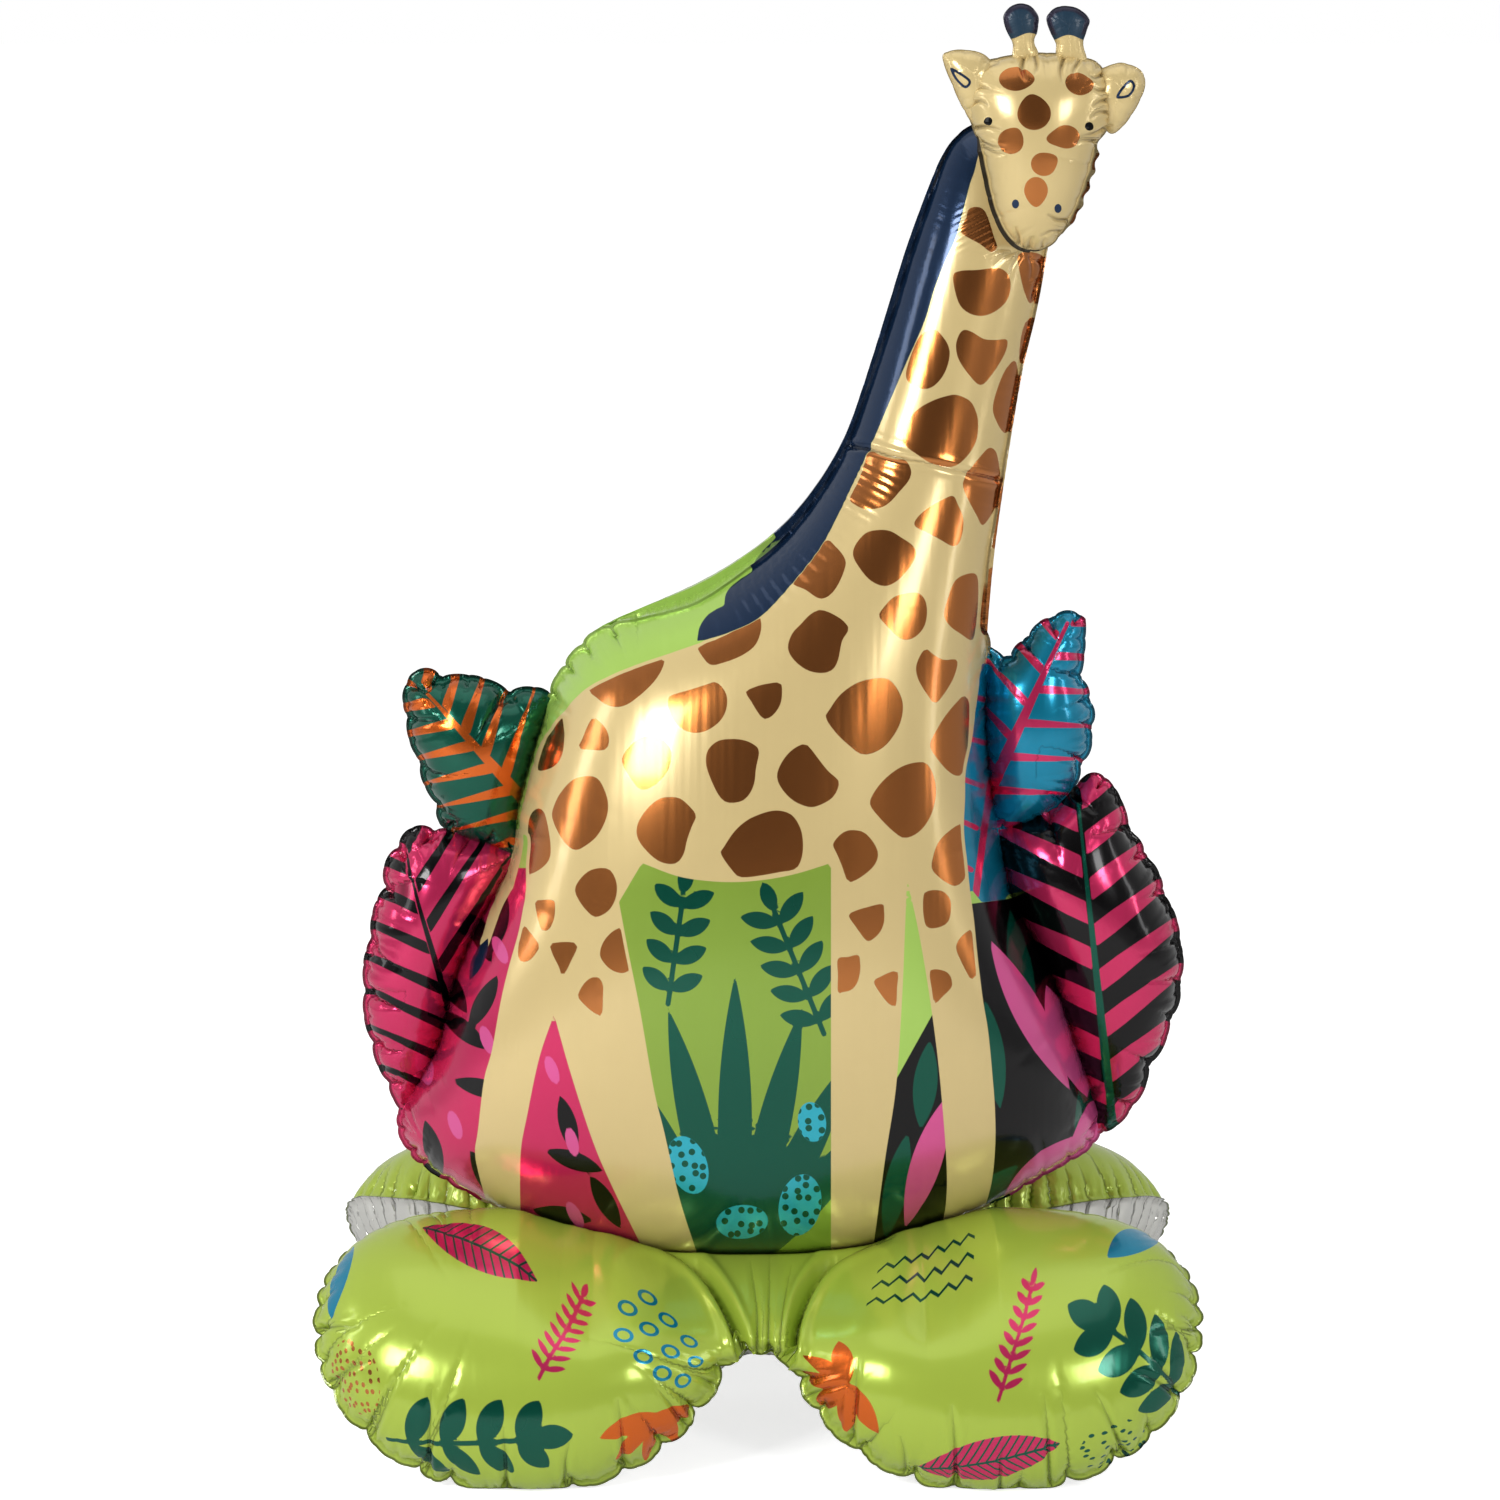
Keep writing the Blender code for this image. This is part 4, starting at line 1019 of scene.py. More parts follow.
def zigzag(x0, y0, pitch, rise, rows, gap, half):
    def build(node, links, math_node, attribute):
        x = math_node("DIVIDE", math_node("SUBTRACT", attribute("flat_x"), x0), pitch)
        wave = math_node("MULTIPLY", math_node("ABSOLUTE", math_node("SUBTRACT", math_node("FRACT", x), 0.5)), 2 * rise)
        y = math_node("DIVIDE", math_node("SUBTRACT", math_node("SUBTRACT", attribute("flat_y"), y0), wave), gap)
        off = math_node("MULTIPLY", math_node("ABSOLUTE", math_node("SUBTRACT", math_node("FRACT", y), 0.5)), gap)
        slope = math.hypot(1, 2 * rise / pitch)
        return math_node("SUBTRACT", math_node("DIVIDE", off, slope), half)
    return build


def hoops(key, radius, half):
    """Rings round the points that the attribute holds the distance from."""
    def build(node, links, math_node, attribute):
        return math_node("SUBTRACT", math_node("ABSOLUTE", math_node("SUBTRACT", attribute(key), radius)), half)
    return build


def layer(key, ink, soft=0.45):
    return (key, ink[0], ink[1], ink[2], soft)


# ---------------------------------------------------------------- torso and neck

STEP = 0.0041 * COARSER
BACK_STEP = 0.0042 * COARSER

side_ring = smooth_line(RIGHT_SIDE + [NECK_TOP] + LEFT_SIDE[::-1], closed=True)
torso_outline = np.array([on_plane(u, v) for u, v in side_ring])
length = np.linalg.norm(np.diff(torso_outline, axis=0), axis=1).sum()
torso_ring = turned_right(evenly(torso_outline, 2 * round(length / STEP)))


def torso_turn(ring):
    """How far the seam is turned to the front: on the neck and along the back, none where the leaves are welded on."""
    u, v = drawn(np.stack([ring[:, 0], 0 * ring[:, 0], ring[:, 1]], 1))
    middle = np.interp(v, [110, 140, 260, 440, 560, 640], [1000, 1005, 975, 930, 880, 800])
    left = u < middle
    on_left = np.interp(v, [100, 122, 135, 200, 300, 380, 440, 530, 600, 640, 700], [0, 8, 26, 27, 26, 22, 18, 17, 19, 12, 0])
    on_right = np.interp(v, [100, 130, 150, 260, 560, 620, 650], [0, 5, 22, 23, 25, 22, 0])
    return np.radians(np.where(left, on_left, on_right))


torso_ring = drawn_in(torso_ring, 0.0022)


def torso_levels(length, ring):
    u, v = drawn(np.stack([ring[:, 0], 0 * ring[:, 0], ring[:, 1]], 1))

    def along_back(at):
        i = (at / length * len(ring)).astype(int) % len(ring)
        return np.interp(u[i], [612, 642], [1, 0.06]) * np.interp(v[i], [540, 600, 700, 716], [0, 1, 1, 0]) * (u[i] < 800)

    def low_sides(at):
        i = (at / length * len(ring)).astype(int) % len(ring)
        return np.interp(v[i], [1080, 1130, 1200, 1240], [0, 1, 1, 0.35])

    return [
        (Creases(length, 0.030, 11), 0.0016, 0.50, 0.0030, 0.085, 0.0011, 0.0012, 0),
        (Creases(length, 0.0125, 12), 0.0007, 0.60, 0.0024, 0.045, 0.0008, 0.0005, 0),
        (Creases(length, 0.0066, 13), 0.00045, 1.2, 0.0020, 0.030, 0.00045, 0.0, 0),
        (Creases(length, 0.031, 14, 0.35, gain=along_back), 0.0064, 0.40, 0.0030, 0.075, 0.0030, 0.0062, 0.35),
        (Creases(length, 0.026, 15, 0.5, gain=low_sides), 0.0040, 0.50, 0.0030, 0.080, 0.0022, 0.0030, 0.35),
    ]


NECK_FOLDS = [
    ([(850, 446), (868, 449), (900, 458), (940, 465), (975, 474)], 2.6, 2.6), ([(1014, 485), (1000, 480), (970, 473), (930, 464)], 2.6, 2.2),
    ([(1016, 252), (1004, 257), (992, 268)], 2.2, 0.9), ([(1019, 256), (1013, 266), (1009, 280)], 2.0, 0.8), ([(1010, 250), (998, 250), (984, 256)], 2.0, 0.8),
    ([(1047, 268), (1041, 262), (1030, 258)], 2.2, 1.6), ([(1046, 274), (1038, 284), (1031, 302)], 2.4, 1.8), ([(1030, 256), (1032, 270), (1030, 284)], 2.0, 1.0),
]


def neck_extra(points, sheet, side):
    """Cross ripples where the neck bends, the one long crease across it, and folds under the chin."""
    u, v = drawn(points)
    along, far = sheet["along"], sheet["far"]
    if side > 0:
        return np.zeros(len(u)), no_folds(len(u))
    bend = np.exp(-(((v - 478) / 38) ** 4)) * np.clip((np.interp(v, [430, 470, 520], [915, 912, 880]) - u) / 14, 0, 1) * np.clip(far / 0.012, 0, 1) * np.exp(-((far / 0.085) ** 4))
    ripple = 0.00055 * bend * np.sin(along / 0.0074 * 2 * math.pi + 1.2 * np.sin(along * 90)) * (0.6 + 0.4 * np.sin(along * 210))
    low = np.exp(-(((v - 570) / 42) ** 4)) * np.clip((np.interp(v, [540, 600], [850, 800]) - u) / 14, 0, 1) * np.clip(far / 0.016, 0, 1) * np.exp(-((far / 0.075) ** 4))
    ripple += 0.00045 * low * np.sin(along / 0.0105 * 2 * math.pi)
    under = np.exp(-(((u - 979) / 20) ** 4) - (((v - 230) / 22) ** 4))
    ripple += 0.0006 * under * np.sin((0.45 * (u - 979) + 0.89 * (v - 230)) / 6.2 * 2 * math.pi)
    depth, folds = pressed(u, v, NECK_FOLDS)
    return ripple + depth, folds


def torso_scale(points, flat):
    """Strong puckers at the lower corners and along the welds, calm ones on the neck."""
    u, v = drawn(points)
    smooth_back = eased(u, 610, 655) * (1 - eased(v, 640, 700))
    return np.interp(v, [100, 200, 540, 585, 620, 1000, 1150, 1250], [0.40, 0.15, 0.15, 0.55, 1.0, 0.9, 1.25, 1.0]) * (1 - smooth_back) + 0.15 * smooth_back


def torso_coarse(flat, far, side):
    u, v = drawn(np.stack([flat[:, 0], 0 * flat[:, 0], flat[:, 1]], 1))
    sprigs = (u > 640) & (u < 850) & (v > 880) & (v < 1045)
    return (far > 0.046) & (((v > 600) & ~sprigs) | (side > 0))


torso, torso_skin = envelope(
    "body_skin", torso_ring, STEP, upright(0.0), torso_levels, torso_prints, back_step=BACK_STEP, shift=torso_turn, extra=neck_extra,
    scale=torso_scale, coarse=torso_coarse,
)
torso.data.materials.append(foil(
    "printed_foil_body", SHOULDER,
    [
        layer("window", LEAFY), layer("pink", MAGENTA), layer("dark", BLACK), layer("blue", BLUE), layer("blades", DEEP), layer("pebbles", CYAN), layer(inside_of(flecks(11.5, 3.3, 0, 0.6), "pebbles"), DEEP, 0.3),
        layer("fronds", BLACK), layer("drops", PINK), layer("fan_green", DEEP), layer("fan_pink", PINK), layer("veins", MAGENTA),
        layer("figure", CREAM), layer("mane", NAVY), layer("tip", NAVY), layer("spots", COPPER),
    ],
))
body_tree = BVHTree.FromPolygons([Vector(p) for p in torso_skin[0]], torso_skin[1].tolist())

# ---------------------------------------------------------------- leaf lobes

LEAF_PRINTS = {
    "leaf_left_upper": ((524, 800), (424, 690), 5, 0.55, 5.5, 0.42),
    "leaf_left_lower": ((474, 1090), (402, 850), 6, 0.85, 4.5, 0.34),
    "leaf_right_upper": ((990, 790), (1068, 622), 5, 0.40, 6.0, 0.24),
    "leaf_right_lower": ((1112, 1120), (1078, 800), 7, 0.60, 4.5, 0.50),
}
LEAF_INKS = {
    "leaf_left_upper": (DEEP, ORANGE, ORANGE),
    "leaf_left_lower": (MAGENTA, BLACK, BLACK),
    "leaf_right_upper": (BLUE, MAGENTA, MAGENTA),
    "leaf_right_lower": (BLACK, MAGENTA, DEEP),
}
LEAF_STEP = 0.0042 * COARSER

leaf_objects = []
for number, (name, (notches, bulges)) in enumerate(LEAVES.items()):
    hand = 1 if "left" in name else -1
    edge = scallops(notches, [-hand * b for b in bulges])
    sides = LEFT_SIDE if hand > 0 else RIGHT_SIDE
    top, low = notches[0][1], notches[-1][1]
    inner = [(u, v) for u, v in smooth_line(sides) if top + 6 < v < low - 6]
    if hand > 0:
        inner = inner if inner[0][1] > inner[-1][1] else inner[::-1]
    else:
        inner = inner if inner[0][1] > inner[-1][1] else inner[::-1]
    ring = np.vstack([edge, inner])
    ring = np.array([on_plane(u + hand * 1.5, v) for u, v in ring])
    total = np.linalg.norm(np.diff(ring, axis=0), axis=1).sum()
    ring = turned_right(evenly(ring, 2 * round(total / LEAF_STEP)))
    spots = np.array([on_plane(u, v) for u, v in notches])
    index, _ = nearest(ring, spots)
    whole = np.linalg.norm(np.roll(ring, -1, axis=0) - ring, axis=1).sum()
    notch_at = index * whole / len(ring)
    weld_u = np.array([on_plane(u, v) for u, v in smooth_line(sides)])
    _, near_weld = nearest(weld_u, ring)
    free = np.clip(near_weld / 0.006, 0, 1)
    ring = drawn_in(ring, 0.0030 * free)

    def leaf_levels(length, ring, notch_at=notch_at, seed=30 + 7 * number):
        inner_at = np.arange(0, length, 0.017) + 0.006 * hashed(np.arange(len(np.arange(0, length, 0.017))), seed)
        gaps = np.abs((inner_at[:, None] - notch_at[None, :] + length / 2) % length - length / 2).min(1)
        between = inner_at[gaps > 0.011]
        return [
            (Creases(length, 0.03, seed, at=notch_at), 0.0085, 0.42, 0.0032, 0.090, 0.0042, 0.0024, 0.8),
            (Creases(length, 0.02, seed + 1, at=np.concatenate([between, notch_at])), 0.0032, 0.50, 0.0024, 0.040, 0.0018, 0.0011, 0),
            (Creases(length, 0.0080, seed + 2), 0.0009, 0.80, 0.0020, 0.026, 0.0008, 0.0, 0),
        ]

    def leaf_prints(u, v, flat, side, name=name):
        rib, mid = ribbed(u, v, *LEAF_PRINTS[name][:2], *LEAF_PRINTS[name][2:])
        return dict(rib=rib, mid=mid)

    def leaf_flange(ring, free=free):
        return 0.0008 + 0.0030 * free

    leaf, _ = envelope(name + "_skin", ring, LEAF_STEP, upright(0.0), leaf_levels, leaf_prints, flange=leaf_flange)
    ground, ribs, middle = LEAF_INKS[name]
    leaf.data.materials.append(foil("printed_foil_" + name, ground, [layer("rib", ribs), layer("mid", middle)], flange_shade=0.25, streak=0.8, coat=0.34))
    leaf_objects.append(leaf)

# ---------------------------------------------------------------- head

face_outline = smooth_line([FACE_TOP] + [(r, v) for v, l, r in FACE_ROWS] + [FACE_CHIN] + [(l, v) for v, l, r in FACE_ROWS][::-1], closed=True)
HEAD_STEP = 0.0025 * COARSER


def clear_of_neck(flat):
    reach = np.full(len(flat), 1.0)
    for i, (x, z) in enumerate(flat.tolist()):
        hit = body_tree.ray_cast(Vector((x, -1, z)), Vector((0, 1, 0)))[0]
        if hit is not None:
            reach[i] = hit.y - 0.0008
    return reach


def face_prints(u, v, flat, side):
    spots = least(*[blob(u, v, *s) for s in (
        (1016, 79, 17, 12, 0, 0, 0.1), (1079, 84, 14, 11, -20, 0, 0.1), (1034, 113, 17, 17, 0, 100, 0.12), (1011, 141, 13, 13, 0, 60, 0.1),
        (1065, 137, 15, 12, 0, 190, 0.25), (1044, 164, 13, 12, 0, 30, 0.15), (1036, 191, 12, 14, 0, 270, 0.15))])
    marks = np.where(side > 0, FAR, least(*[blob(u, v, *s) for s in ((1015.5, 204, 3.6, 4.6), (1058, 208.5, 3.6, 4.6))]))
    eyes = np.where(side > 0, FAR, least(*[blob(u, v, *s) for s in ((988.3, 121.3, 4.2, 4.3), (1089.3, 126.3, 4.2, 4.3))]))
    # painted shadow: the margin left of the snout, towards the neck, gets the dark olive ink
    under = np.where((side == 0) & (v > 136) & (u < np.interp(v, [136, 235, 262], [1010, 1030, 1048])), -9.0, 3.0)
    rows = ((v > 152) & (v < 168)) | ((v > 180) & (v < 196)) | ((v > 206) & (v < 222))
    return dict(spots=spots, marks=marks, eyes=eyes, under=under, edge=np.where((side == 0) & (u > 1060) & rows, -3.0, 3.0))


HEAD_FOLDS = [
    ([(1024, 55), (1022, 68), (1026, 82)], 1.9, 2.0), ([(1035, 56), (1037, 66), (1034, 75)], 1.6, 1.3), ([(1064, 56), (1061, 70), (1063, 84)], 1.9, 2.0),
    ([(1079, 60), (1074, 70), (1075, 79)], 1.6, 1.3), ([(973, 76), (986, 67), (1000, 61)], 2.0, 2.0), ([(967, 92), (979, 87), (991, 90)], 1.9, 1.7),
    ([(968, 105), (979, 101), (989, 106)], 1.7, 1.5), ([(972, 129), (986, 127), (1002, 131)], 1.9, 2.0), ([(974, 139), (990, 146), (1006, 149)], 1.9, 1.8),
    ([(981, 147), (994, 153), (1007, 155)], 1.7, 1.2), ([(1104, 74), (1096, 77), (1088, 74)], 1.9, 1.6), ([(1112, 88), (1101, 90), (1091, 86)], 1.9, 1.9),
    ([(1113, 100), (1102, 101), (1092, 107)], 1.8, 1.6), ([(1111, 113), (1099, 112), (1090, 119)], 1.7, 1.4), ([(1107, 128), (1095, 134), (1080, 136)], 2.0, 2.2),
    ([(1097, 142), (1085, 140), (1073, 143)], 1.8, 1.5), ([(1019, 250), (1018, 239), (1015, 226)], 1.6, 1.5), ([(1067, 221), (1057, 220), (1047, 215)], 1.7, 1.8),
    ([(1063, 232), (1052, 232), (1040, 237)], 1.6, 1.3), ([(1028, 252), (1029, 243), (1032, 236)], 1.5, 1.0), ([(1043, 252), (1042, 244), (1045, 238)], 1.5, 1.0),
]


def head_extra(points, sheet, side):
    u, v = drawn(points)
    return pressed(u, v, [] if side > 0 else [(line, half, 1.5 * deep) for line, half, deep in HEAD_FOLDS])


def face_flange(ring):
    """A wider margin beside the snout: on the right, where the back sheet shows; on the left, where it carries the
    painted shadow between snout and neck.
    """
    u, v = drawn(np.stack([ring[:, 0], np.full(len(ring), HEAD_Y), ring[:, 1]], 1))
    wave = 0.75 + 0.25 * np.sin(v * 0.38)
    return 0.0020 + 0.0050 * wave * (u > 1060) * np.interp(v, [140, 152, 215, 235], [0, 1, 1, 0]) + 0.0036 * (u < 1030) * np.interp(v, [138, 150, 240, 256], [0, 1, 1, 0.3])


def small_levels(pitch, deep):
    def levels(length, ring):
        seed = 50 + round(length * 1000)
        return [
            (Creases(length, pitch, seed), deep, 0.45, 0.0020, pitch * 1.8, deep * 0.5, deep * 0.35, 0),
            (Creases(length, pitch * 0.45, seed + 5), deep * 0.35, 0.6, 0.0015, pitch * 0.9, deep * 0.2, 0.0, 0),
        ]
    return levels


def placed_ring(points, step, y, draw=0.0016):
    ring = np.array([on_plane(u, v, y) for u, v in points])
    total = np.linalg.norm(np.diff(ring, axis=0), axis=1).sum()
    return drawn_in(turned_right(evenly(ring, 2 * round(total / step))), draw)


head_place = upright(HEAD_Y, clear_of_neck)
face, _ = envelope(
    "face_skin", placed_ring(face_outline, HEAD_STEP, HEAD_Y), HEAD_STEP, head_place, small_levels(0.019, 0.0021), face_prints,
    factors=(0.92, 0.92), flange=face_flange, extra=head_extra,
)
# the under layer paints the shadow between snout and neck in dark olive; the margin is darkened as painted shade
face.data.materials.append(foil("printed_foil_face", CREAM, [layer("spots", COPPER, 0.3), layer("marks", NAVY, 0.25), layer("eyes", PUPIL, 0.25), layer("edge", COPPER, 0.3), layer("under", SNOUT_SHADOW, 0.8)], flange_shade=0.30, coat=0.25))
trims = []
for name, points in {**EARS, **HORNS}.items():
    outline = smooth_line(points, closed=True)

    def trim_prints(u, v, flat, side, name=name):
        if name.startswith("horn"):
            tip_v = 36 if "left" in name else 38
            return dict(knob=clamp(v - tip_v - 3 * np.sin((u - 1000) * 0.16)), mark=np.full(len(u), FAR), rim=clamp(np.maximum(v - tip_v + 3, nearest(flat[side == 0], flat)[1] * 1000 - 5.5)))
        loop = [(951, 68), (970, 80), (966, 88), (957, 82)] if "left" in name else [(1117, 98), (1120, 90), (1130, 80), (1135, 86), (1130, 96)]
        d = poly(u, v, smooth_line(loop, closed=True))
        return dict(knob=np.full(len(u), FAR), rim=np.full(len(u), FAR), mark=np.where(side > 0, FAR, np.abs(d + 1.0) - 1.3))

    horn = name.startswith("horn")
    trim, _ = envelope(
        name + "_skin", placed_ring(outline, 0.0022 * COARSER, HEAD_Y, 0.0012), 0.0022 * COARSER, head_place, small_levels(*((0.010, 0.0011) if horn else (0.017, 0.0016))), trim_prints,
        factors=(0.52, 0.75) if horn else (0.9, 0.9), flange=0.0014,
    )
    trim.data.materials.append(foil("printed_foil_" + name, CREAM, [layer("knob", KNOB, 0.3), layer("rim", KNOB_RIM, 1.4), layer("mark", NAVY, 0.3)], flange_shade=0.5, coat=0.12 if horn else 0.3))
    trims.append(trim)

# ---------------------------------------------------------------- base cushion

def pad_outline():
    quarter = [(0.0, WEB_B - 0.004), (0.016, WEB_B - 0.002)]
    for degrees in np.arange(163, -103, -2):
        c, s = math.cos(math.radians(degrees)), math.sin(math.radians(degrees))
        quarter.append((
            PAD_X + PAD_HALF_X * math.copysign(abs(c) ** (2 / PAD_POWER), c), PAD_B + PAD_HALF_B * math.copysign(abs(s) ** (2 / PAD_POWER), s)))
    quarter.append((NOTCH_X, 0.0))
    q = np.array(quarter)
    right = np.vstack([q, (q * [1, -1])[-2::-1]])
    return np.vstack([right, (right * [-1, 1])[-2:0:-1]])


BASE_STEP = 0.0048 * COARSER
BASE_BACK = 0.0038 * COARSER
pads = pad_outline()
total = np.linalg.norm(np.diff(pads, axis=0), axis=1).sum()
pads = drawn_in(turned_right(evenly(pads, 2 * round(total / BASE_STEP))), 0.0030)


def base_place(flat, off, side):
    """Folds the flat sheet, and lets the tops of the front pads give way under the body."""
    off = -side * off
    angle = flat[:, 1] / FOLD_RADIUS
    radius = FOLD_RADIUS + off
    x, y, z = np.abs(flat[:, 0]), radius * np.sin(angle), RIDGE_Z - FOLD_RADIUS + radius * np.cos(angle)
    deep = np.interp(x, SINK_AT, SINK)
    if side > 0:
        deep = deep * np.clip((x - 0.105) / 0.04, 0, 1)
    change = deep * eased(-y, -0.05, 0.04) - REAR_RISE * eased(y, 0.05, 0.14) * eased(x, 0.15, 0.25)
    return np.stack([flat[:, 0], y, z - change * eased(z, 0.10, 0.24)], 1)


def base_slack(points):
    slack = np.exp(-((points[:, 0] / 0.105) ** 4) - (points[:, 1] / 0.24) ** 4)
    return 1 - 0.80 * slack


def base_levels(length, ring):
    def rear(at):
        return (ring[(at / length * len(ring)).astype(int) % len(ring), 1] > 0).astype(float)

    x, y = np.abs(ring[:, 0]), ring[:, 1]
    pitches = np.where(y > 0, 0.0215, np.interp(-y, [0.20, 0.29], [0.027, 0.050]))
    at = places(length, pitches, 71)
    return [
        (Creases(length, 0.034, 71, at=at, gain=lambda at: 1 - rear(at)), 0.0100, 0.40, 0.0030, 0.100, 0.0036, 0.0105, 0.8),
        (Creases(length, 0.034, 74, at=at, gain=rear), 0.0072, 0.60, 0.0030, 0.130, 0.0034, 0.0030, 0.9),
        (Creases(length, 0.0172, 72), 0.0022, 0.50, 0.0024, 0.050, 0.0014, 0.0016, 0),
        (Creases(length, 0.0080, 73), 0.0007, 0.80, 0.0020, 0.028, 0.0006, 0.0, 0),
    ]


PAD_FOLDS = [
    ([(428, 1486), (428, 1440), (432, 1385)], 3.0, 4.5), ([(506, 1500), (505, 1460), (503, 1425)], 2.8, 4.0), ([(625, 1478), (623, 1435), (618, 1398)], 2.8, 4.2),
    ([(366, 1448), (385, 1405), (398, 1374)], 2.8, 3.6), ([(694, 1436), (672, 1405), (655, 1386)], 2.6, 3.4), ([(326, 1386), (350, 1368), (372, 1361)], 2.6, 3.2),
    ([(312, 1330), (336, 1326), (360, 1327)], 2.6, 3.0), ([(728, 1392), (703, 1378), (684, 1373)], 2.6, 3.2), ([(565, 1494), (566, 1462), (570, 1440)], 2.6, 3.0),
    ([(850, 1458), (853, 1410), (858, 1355)], 3.0, 4.5), ([(955, 1496), (955, 1450), (952, 1402)], 2.8, 4.2), ([(1050, 1480), (1048, 1430), (1044, 1392)], 2.8, 4.0),
    ([(1124, 1452), (1108, 1415), (1095, 1390)], 2.6, 3.6), ([(1176, 1394), (1152, 1378), (1130, 1370)], 2.6, 3.2), ([(796, 1400), (822, 1390), (848, 1384)], 2.6, 3.4),
    ([(1196, 1330), (1172, 1328), (1150, 1331)], 2.6, 3.0), ([(905, 1488), (904, 1456), (900, 1434)], 2.6, 3.0), ([(1000, 1494), (1001, 1462), (1004, 1440)], 2.6, 3.0),
]
WEB_FOLDS = [
    ([(745, 1362), (735, 1326), (717, 1290), (694, 1262), (664, 1244), (636, 1236)], 4.6, 19.0), ([(790, 1356), (796, 1318), (812, 1282), (834, 1257), (866, 1241), (896, 1233)], 4.6, 19.0),
    ([(756, 1360), (757, 1310), (750, 1258)], 2.8, 3.6), ([(768, 1358), (769, 1306), (770, 1250)], 2.6, 2.6), ([(780, 1356), (783, 1310), (792, 1262)], 2.8, 3.6),
]


def base_extra(points, sheet, side):
    """Long folds up from the pads' front edge, and the folds between the pads and the web."""
    u, v = drawn(points)
    depth, folds = pressed(u, v, [] if side > 0 else PAD_FOLDS + WEB_FOLDS)
    front = points[:, 1] < -0.02
    return depth * front, folds * front + no_folds(len(u)) * ~front


def base_coarse(flat, far, side):
    return (far > 0.034) & ((side > 0) | (flat[:, 1] > 0))


def on_ground(points):
    """Pressed on the ground below, and under the body above."""
    p = points.copy()
    z = p[:, 2]
    low = z < 0.09
    floor = z.min()
    z[low] -= (floor + SOLE_CUT) * (1 - z[low] / 0.09)
    p[:, 2] = np.where(z < 0.004, 0.0004 + 0.0036 * np.exp(np.minimum(z - 0.004, 0) / 0.0036), z)
    reach = np.flatnonzero((np.abs(p[:, 0]) < 0.36) & (np.abs(p[:, 1]) < 0.2) & (p[:, 2] > 0.09))
    for i in reach:
        hit = body_tree.ray_cast(Vector((p[i, 0], p[i, 1] + 0.0002, -1)), Vector((0, 0, 1)))[0]
        if hit is not None:
            top = hit.z - float(np.interp(p[i, 1], [0, 0.02], [0.0012, 0.0030]))
            room = top - p[i, 2]
            if room < 0.004:
                p[i, 2] = top - 0.004 * math.exp(min(room, 0.004) / 0.004 - 1)
    return p


VEINED = [(-306, 122, 18, 112, 19), (156, 312, -13, 122, 20), (312, 154, -36, 82, 14), (-392, 196, -78, 74, 13)]


def base_prints(u, v, flat, side):
    """Plant shapes and small marks on the two front pads and, plainer, on the rear ones, in flat millimetres: x to
    the right, y towards the front edge, which is down the drawing."""
    x, y = flat[:, 0] * 1000, -flat[:, 1] * 1000
    inks = {k: np.full(len(x), FAR) for k in ("deep", "rose", "orange", "cyan", "dots", "rings", "zigzag", "dashes", "ribbed_left", "ribbed_right")}

    def put(key, shape):
        inks[key] = np.minimum(inks[key], shape)

    def sprig(key, x0, y0, angle, long, pairs, leaf, half, lean=48, stem=1.6):
        c, s = math.cos(math.radians(angle)), math.sin(math.radians(angle))
        put(key, bar(x, y, x0, y0, x0 + long * c, y0 + long * s, stem))
        for k in range(pairs):
            t = (k + 0.7) / pairs * long
            for turn in (-lean, lean):
                put(key, lens_leaf(x, y, x0 + t * c, y0 + t * s, angle + turn, leaf * (1 - 0.3 * k / pairs), half))
        put(key, lens_leaf(x, y, x0 + long * c, y0 + long * s, angle, leaf * 0.8, half))

    def fan(key, x0, y0, angle, blades, long, half, spread=34):
        for k in range(blades):
            a = angle + (k - (blades - 1) / 2) * spread
            put(key, lens_leaf(x, y, x0, y0, a, long * (1 - 0.07 * abs(k - (blades - 1) / 2)), half))

    # left front pad
    sprig("deep", -342, 292, -6, 128, 4, 44, 9.5, 50, 2.0)
    sprig("rose", -205, 236, -62, 92, 8, 19, 2.6, 52, 1.5)
    fan("orange", -112, 262, 88, 5, 58, 8.5, 36)
    x0, y0, angle, long, half = VEINED[0]
    put("ribbed_left", lens_leaf(x, y, x0, y0, angle, long, half))
    x0, y0, angle, long, half = VEINED[3]
    put("cyan", lens_leaf(x, y, x0, y0, angle, long, half))
    for k, (dx, dy) in enumerate([(0, -44), (-20, -30), (12, -24), (-8, -10), (26, -4), (-30, -2), (8, 12), (-18, 20), (30, 22), (-4, 36), (18, 44)]):
        put("rings", np.minimum(np.hypot(x + 106 - dx - 2 * math.sin(3 * k), y - 190 - dy), FAR))
    put("dots", blob(x, y, -368, 244, 30, 30))
    # right front pad
    sprig("deep", 404, 262, -150, 112, 4, 46, 10.5, 48, 2.0)
    sprig("rose", 222, 252, -74, 84, 8, 19, 2.6, 52, 1.5)
    fan("orange", 104, 236, 160, 6, 60, 9, 38)
    x0, y0, angle, long, half = VEINED[1]
    put("ribbed_right", lens_leaf(x, y, x0, y0, angle, long, half))
    x0, y0, angle, long, half = VEINED[2]
    put("cyan", lens_leaf(x, y, x0, y0, angle, long, half))
    put("zigzag", np.maximum(np.abs(x - 150) - 44, np.abs(y - 135) - 25))
    put("dashes", blob(x, y, 330, 300, 38, 28, -20))
    # rear pads
    for sx in (-1, 1):
        fan("deep", sx * 250, -250, -90, 3, 80, 12, 40)
        put("rose", lens_leaf(x, y, sx * 160, -150, -60 * sx, 90, 15))
    hidden = side > 0
    for key in inks:
        inks[key] = np.where(hidden, FAR, clamp(inks[key]))
    inks["silver"] = np.where(hidden, -FAR, FAR)
    inks["flat_x"], inks["flat_y"] = x, y
    return inks


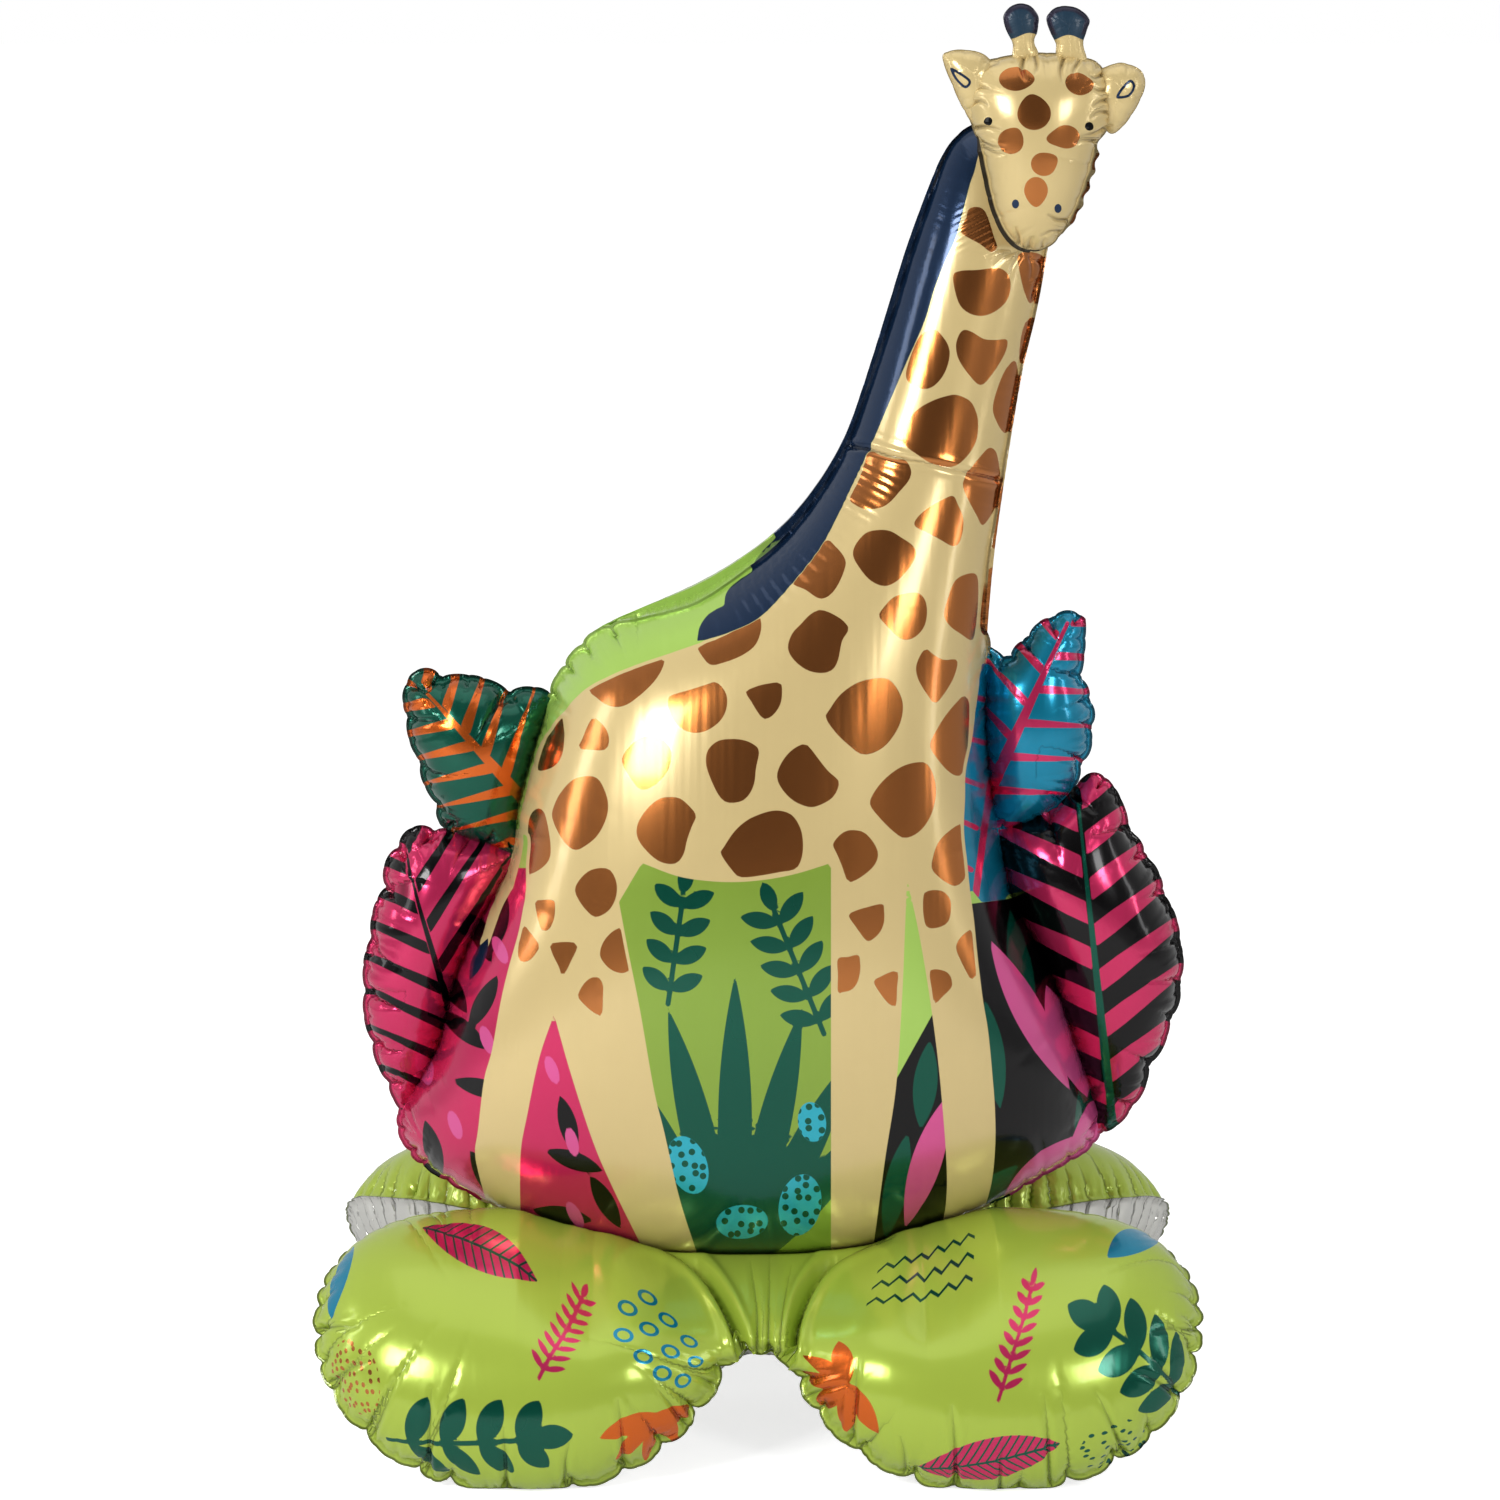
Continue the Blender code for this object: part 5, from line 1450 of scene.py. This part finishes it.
base, _ = envelope(
    "base_skin", pads, BASE_STEP, base_place, base_levels, base_prints, back_step=BASE_BACK, factors=(PAD_OUT, PAD_IN), full=0.80,
    thin=base_slack, after=on_ground, flange=0.0030, extra=base_extra, coarse=base_coarse,
)
base.data.materials.append(foil(
    "printed_foil_base", LIME,
    [
        layer("deep", DEEP), layer("rose", MAGENTA), layer("orange", ORANGE), layer("cyan", BLUE), layer("ribbed_left", MAGENTA), layer("ribbed_right", MAGENTA),
        layer(inside_of(flecks(7.6, 1.9, 0, 0.7), "dots"), COPPER, 0.3), layer(hoops("rings", 6.4, 1.5), BLUE, 0.3),
        layer(inside_of(zigzag(150, 140, 15.0, 6.0, 3, 16.0, 1.1), "zigzag"), DEEP, 0.3),
        layer(inside_of(flecks(8.0, 1.6, 0, 0.9, 1.7), "dashes"), DEEP, 0.3),
        layer(inside_of(leaf_ribs(*VEINED[0][:3], 9.0, 0.7, 0.8), "ribbed_left"), DEEP, 0.3),
        layer(inside_of(leaf_ribs(*VEINED[1][:3], 8.0, 0.9, 0.8), "ribbed_right"), DEEP, 0.3),
        layer("silver", SILVER),
    ],
    flange_shade=0.30,
))

for obj in [torso, *leaf_objects]:
    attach(obj, "root")
    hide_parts("body_balloon")
for obj in [face, *trims]:
    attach(obj, "root")
    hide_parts("head_balloon")
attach(base, "root")
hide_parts("base_cushion")

# ---------------------------------------------------------------- floor, light and camera

scene = bpy.context.scene
scene.view_settings.view_transform = "Standard"
floor_mesh = bpy.data.meshes.new("floor")
size = 300.0
floor_mesh.from_pydata([(-size, -size, 0), (size, -size, 0), (size, size, 0), (-size, size, 0)], [], [(0, 1, 2, 3)])
floor = bpy.data.objects.new("floor", floor_mesh)
scene.collection.objects.link(floor)
pale = bpy.data.materials.new("pale_floor")
pale.use_nodes = True
shader = pale.node_tree.nodes["Principled BSDF"]
shader.inputs["Roughness"].default_value = 0.9
shader.inputs["Specular IOR Level"].default_value = 0.1
tone = pale.node_tree.nodes.new("ShaderNodeTexNoise")
tone.inputs["Scale"].default_value = 3
ramp = pale.node_tree.nodes.new("ShaderNodeMapRange")
ramp.inputs["To Min"].default_value = 0.80
ramp.inputs["To Max"].default_value = 0.83
pale.node_tree.links.new(tone.outputs["Fac"], ramp.inputs["Value"])
pale.node_tree.links.new(ramp.outputs["Result"], shader.inputs["Base Color"])
shader.inputs["Emission Color"].default_value = (1, 1, 1, 1)
seen = pale.node_tree.nodes.new("ShaderNodeLightPath")
glow = pale.node_tree.nodes.new("ShaderNodeMapRange")
glow.inputs["To Min"].default_value = 0.04
glow.inputs["To Max"].default_value = 0.70
pale.node_tree.links.new(seen.outputs["Is Camera Ray"], glow.inputs["Value"])
pale.node_tree.links.new(glow.outputs["Result"], shader.inputs["Emission Strength"])
floor_mesh.materials.append(pale)


def softbox(name, place, aim, wide, high, power):
    lamp = bpy.data.lights.new(name, "AREA")
    lamp.shape = "RECTANGLE"
    lamp.size, lamp.size_y = wide, high
    lamp.energy = power
    obj = bpy.data.objects.new(name, lamp)
    scene.collection.objects.link(obj)
    obj.location = place
    obj.rotation_euler = (Vector(aim) - Vector(place)).to_track_quat("-Z", "Y").to_euler()
    return obj


softbox("key_left", (-2.55, -2.9, 2.3), (0, 0, 0.75), 1.15, 1.25, 94)
softbox("key_right", (2.2, -3.1, 2.1), (0, 0, 0.6), 0.85, 1.2, 38)
softbox("side_left", (-3.4, -0.55, 1.7), (0.1, 0, 0.9), 0.62, 1.7, 15)
softbox("side_right", (3.3, -1.15, 1.5), (0.1, 0, 0.9), 0.30, 1.7, 9)
softbox("overhead", (0, -0.2, 3.6), (0, 0, 0), 3.0, 2.0, 12)

world = bpy.data.worlds.new("studio")
scene.world = world
world.use_nodes = True
tree = world.node_tree
tree.nodes.clear()


def world_node(kind, **values):
    made = tree.nodes.new(kind)
    for key, value in values.items():
        made.inputs[key].default_value = value
    return made


# white behind the object, an even fill on matt surfaces, and for gloss a room that is dark on the camera's side
output = world_node("ShaderNodeOutputWorld")
white = world_node("ShaderNodeBackground", Strength=1.0)
white.inputs["Color"].default_value = (1, 1, 1, 1)
fill = world_node("ShaderNodeBackground", Strength=0.42)
fill.inputs["Color"].default_value = (1, 1, 1, 1)
room = world_node("ShaderNodeBackground", Strength=1.0)
where = world_node("ShaderNodeTexCoord")
split = world_node("ShaderNodeSeparateXYZ")
ramp = world_node("ShaderNodeMapRange")
ramp.interpolation_type = "SMOOTHSTEP"
for key, value in (("From Min", -0.95), ("From Max", 0.35), ("To Min", 0.10), ("To Max", 0.66)):
    ramp.inputs[key].default_value = value
path = world_node("ShaderNodeLightPath")
by_gloss = world_node("ShaderNodeMixShader")
by_sight = world_node("ShaderNodeMixShader")
tree.links.new(where.outputs["Generated"], split.inputs[0])
tree.links.new(split.outputs["Y"], ramp.inputs["Value"])
tree.links.new(ramp.outputs["Result"], room.inputs["Color"])
tree.links.new(path.outputs["Is Glossy Ray"], by_gloss.inputs[0])
tree.links.new(fill.outputs[0], by_gloss.inputs[1])
tree.links.new(room.outputs[0], by_gloss.inputs[2])
tree.links.new(path.outputs["Is Camera Ray"], by_sight.inputs[0])
tree.links.new(by_gloss.outputs[0], by_sight.inputs[1])
tree.links.new(white.outputs[0], by_sight.inputs[2])
tree.links.new(by_sight.outputs[0], output.inputs["Surface"])

camera = bpy.data.cameras.new("camera")
camera.lens, camera.sensor_width = LENS, SENSOR
camera.clip_end = 200
view = bpy.data.objects.new("camera", camera)
scene.collection.objects.link(view)
view.location = (AIM_X, -EYE_DISTANCE * math.cos(EYE_PITCH), AIM_Z + EYE_DISTANCE * math.sin(EYE_PITCH))
view.rotation_euler = (math.pi / 2 - EYE_PITCH, 0, 0)
scene.camera = view
